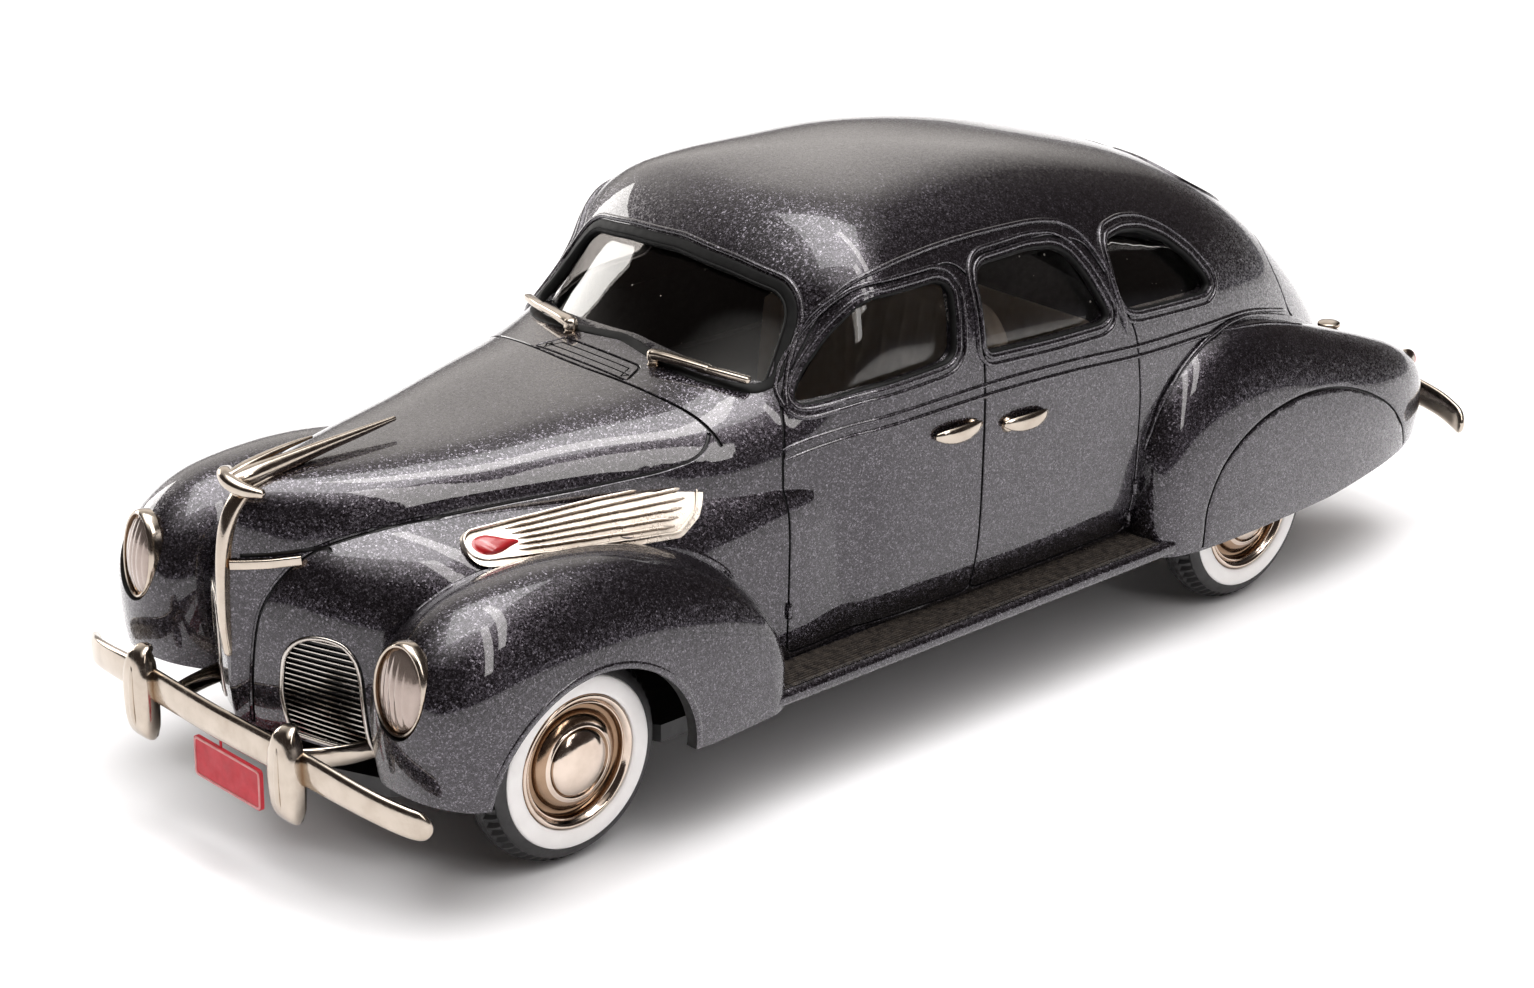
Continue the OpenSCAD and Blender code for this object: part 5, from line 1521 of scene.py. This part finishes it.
piece("front_bench", bench(3.6, 12.8, 29.6 - FLOOR_Z, 1.6), "body", "seat_cream", [CREAM], "front_seat",
      smooth=60)
piece("rear_bench", bench(17.6, 12.8, 25.5 - FLOOR_Z), "body", "seat_cream", [CREAM], "rear_seat", smooth=60)
board = rounded([[-20.75, 17.05], [-20.75, 25.5], [-19.6, 26.55], [-17.7, 25.9], [-17.25, 24.2],
                 [-18.4, 20], [-18.6, 17.05]], 0.7, 8)
piece("dashboard_roll", prism(board, -13.15, 13.15, 0), "body", "trim_brown", [BROWN], "dashboard", smooth=40)


def steering():
    """A thin rim, three spokes and a boss, leaning on the column."""
    t = circle(72)
    P = np.stack([3.1 * np.cos(t), 3.1 * np.sin(t), 0 * t], 1)
    N = np.tile([0, 0, 1.0], (72, 1))
    parts = [outward(sweep(P, N, oval(0.28, 0.28, 14), True))]
    for deg in (90, 210, 330):
        c, s = math.cos(math.radians(deg)), math.sin(math.radians(deg))
        parts.append(outward(bar([[0.5 * c, 0.5 * s, 0.3, 0.22, 0.14],
                                  [2.9 * c, 2.9 * s, 0.12, 0.15, 0.12]], steps=6)))
    parts.append(outward(lathe([(0, 0.54), (0.5, 0.52), (0.8, 0.4), (0.88, 0.2), (0.88, 0.06), (0, 0.06)], 40)))
    me = join(parts)
    return put(me, pitched(points(me), -55) + (6.6, -12.6, 23.6))


piece("steering_wheel_rim", steering(), "body", "wheel_black", [WHEEL_BLACK], "steering_wheel", smooth=50)


# ---- Nodes shown as they are
KEPT = {"base_plate": BASE_BLACK, "base_screws": STEEL, "front_axle": STEEL, "rear_axle": STEEL,
        "interior_tub": BROWN, "steering_column": BROWN}
for name, mat in KEPT.items():
    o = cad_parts[name]
    o.data.materials.clear()
    o.data.materials.append(mat)


# ---- Studio
floor_me = to_mesh([(-3, -3, 0), (3, -3, 0), (3, 3, 0), (-3, 3, 0)], [(0, 1, 2, 3)])
FLOOR = plain_material("floor", (0.905, 0.905, 0.925), (0.93, 0.93, 0.95), 0.6, 60.0, 0.02)
floor_me.materials.append(FLOOR)
floor = bpy.data.objects.new("floor", floor_me)
bpy.context.scene.collection.objects.link(floor)


def area(name, at, to, size, power, colour=(1, 1, 1)):
    light = bpy.data.lights.new(name, "AREA")
    light.shape = "RECTANGLE"
    light.size, light.size_y = size
    light.energy = power
    light.color = colour
    o = bpy.data.objects.new(name, light)
    o.location = at
    o.rotation_euler = (Vector(to) - Vector(at)).to_track_quat("-Z", "Y").to_euler()
    bpy.context.scene.collection.objects.link(o)
    return o


area("key", (-0.04, 0.03, 0.90), (0, 0, 0.0), (0.75, 0.75), 5.0)
area("window_card", (-0.86, -0.13, 0.27), (0, -0.01, 0.03), (0.36, 0.34), 2.6, (1.0, 0.98, 0.95))
area("tube_near", (0.62, 0.02, 0.60), (0, 0.02, 0.02), (0.11, 0.80), 1.7, (1.0, 0.97, 0.95))
area("tube_over", (0.38, 0.22, 0.84), (0, 0.22, 0.02), (0.10, 1.10), 2.3, (1.0, 0.97, 0.95))

# The picture's viewpoint: turn and rise round the car, and the camera's own roll
AZ, EL, ROLL = 0.822254, 0.382065, 0.0116533
CAMERA_AT = (0.184185, -0.182759, 0.116272)


def room():
    """A pale wall beyond the car and a glow overhead, dark and brown elsewhere."""
    world = bpy.data.worlds.new("studio")
    world.use_nodes = True
    nt = world.node_tree
    direction = nt.nodes.new("ShaderNodeSeparateXYZ")
    nt.links.new(nt.nodes.new("ShaderNodeTexCoord").outputs["Generated"], direction.inputs[0])

    def across(a, b):
        total = math_node(nt, "ADD", math_node(nt, "MULTIPLY", direction.outputs[0], a),
                          math_node(nt, "MULTIPLY", direction.outputs[1], b))
        return math_node(nt, "ADD", math_node(nt, "MULTIPLY", total, 0.5), 0.5)

    # the wall stands where a direction lies along, beyond and level with the car
    level = direction.outputs[2]
    beside = ramp(nt, across(0.68, 0.73), [(0.12, (0.0,)), (0.24, (1.0,)), (0.60, (1.0,)), (0.70, (0.0,))])
    beyond_car = ramp(nt, across(-0.73, 0.68), [(0.62, (0.0,)), (0.76, (1.0,))])
    height = ramp(nt, level, [(0.06, (0.12,)), (0.28, (1.0,)), (0.60, (1.0,)), (0.80, (0.0,))])
    wall = math_node(nt, "MULTIPLY", math_node(nt, "MULTIPLY", beside, beyond_car), height)
    dark, glow = (0.016, 0.013, 0.012), (1.0, 0.98, 0.96)
    shades = ramp(nt, level, [(0.0, (0.05, 0.048, 0.055)), (0.03, (0.03, 0.028, 0.03)), (0.09, dark),
                              (0.70, dark), (0.84, (0.30, 0.29, 0.28)), (0.97, glow)])
    sky = nt.nodes["Background"]
    nt.links.new(mix(nt, wall, shades, (0.40, 0.38, 0.36)), sky.inputs["Color"])
    sky.inputs["Strength"].default_value = 3.0
    bpy.context.scene.world = world


def camera():
    data = bpy.data.cameras.new("camera")
    data.lens = 79.47
    data.sensor_width = 36
    data.shift_x = 0.0296
    data.shift_y = 0.0006
    data.clip_start = 0.01
    cam = bpy.data.objects.new("camera", data)
    back = np.array([math.sin(AZ) * math.cos(EL), -math.cos(AZ) * math.cos(EL), math.sin(EL)])
    level = np.array([math.cos(AZ), math.sin(AZ), 0])
    upright = np.cross(back, level)
    right = math.cos(ROLL) * level + math.sin(ROLL) * upright
    up = -math.sin(ROLL) * level + math.cos(ROLL) * upright
    cam.matrix_world = Matrix([(*row, at) for row, at in zip(np.stack([right, up, back], 1), CAMERA_AT)]
                              + [(0, 0, 0, 1)])
    bpy.context.scene.collection.objects.link(cam)
    bpy.context.scene.camera = cam


room()
camera()
bpy.context.scene.view_settings.view_transform = "Standard"

bpy.context.view_layer.update()
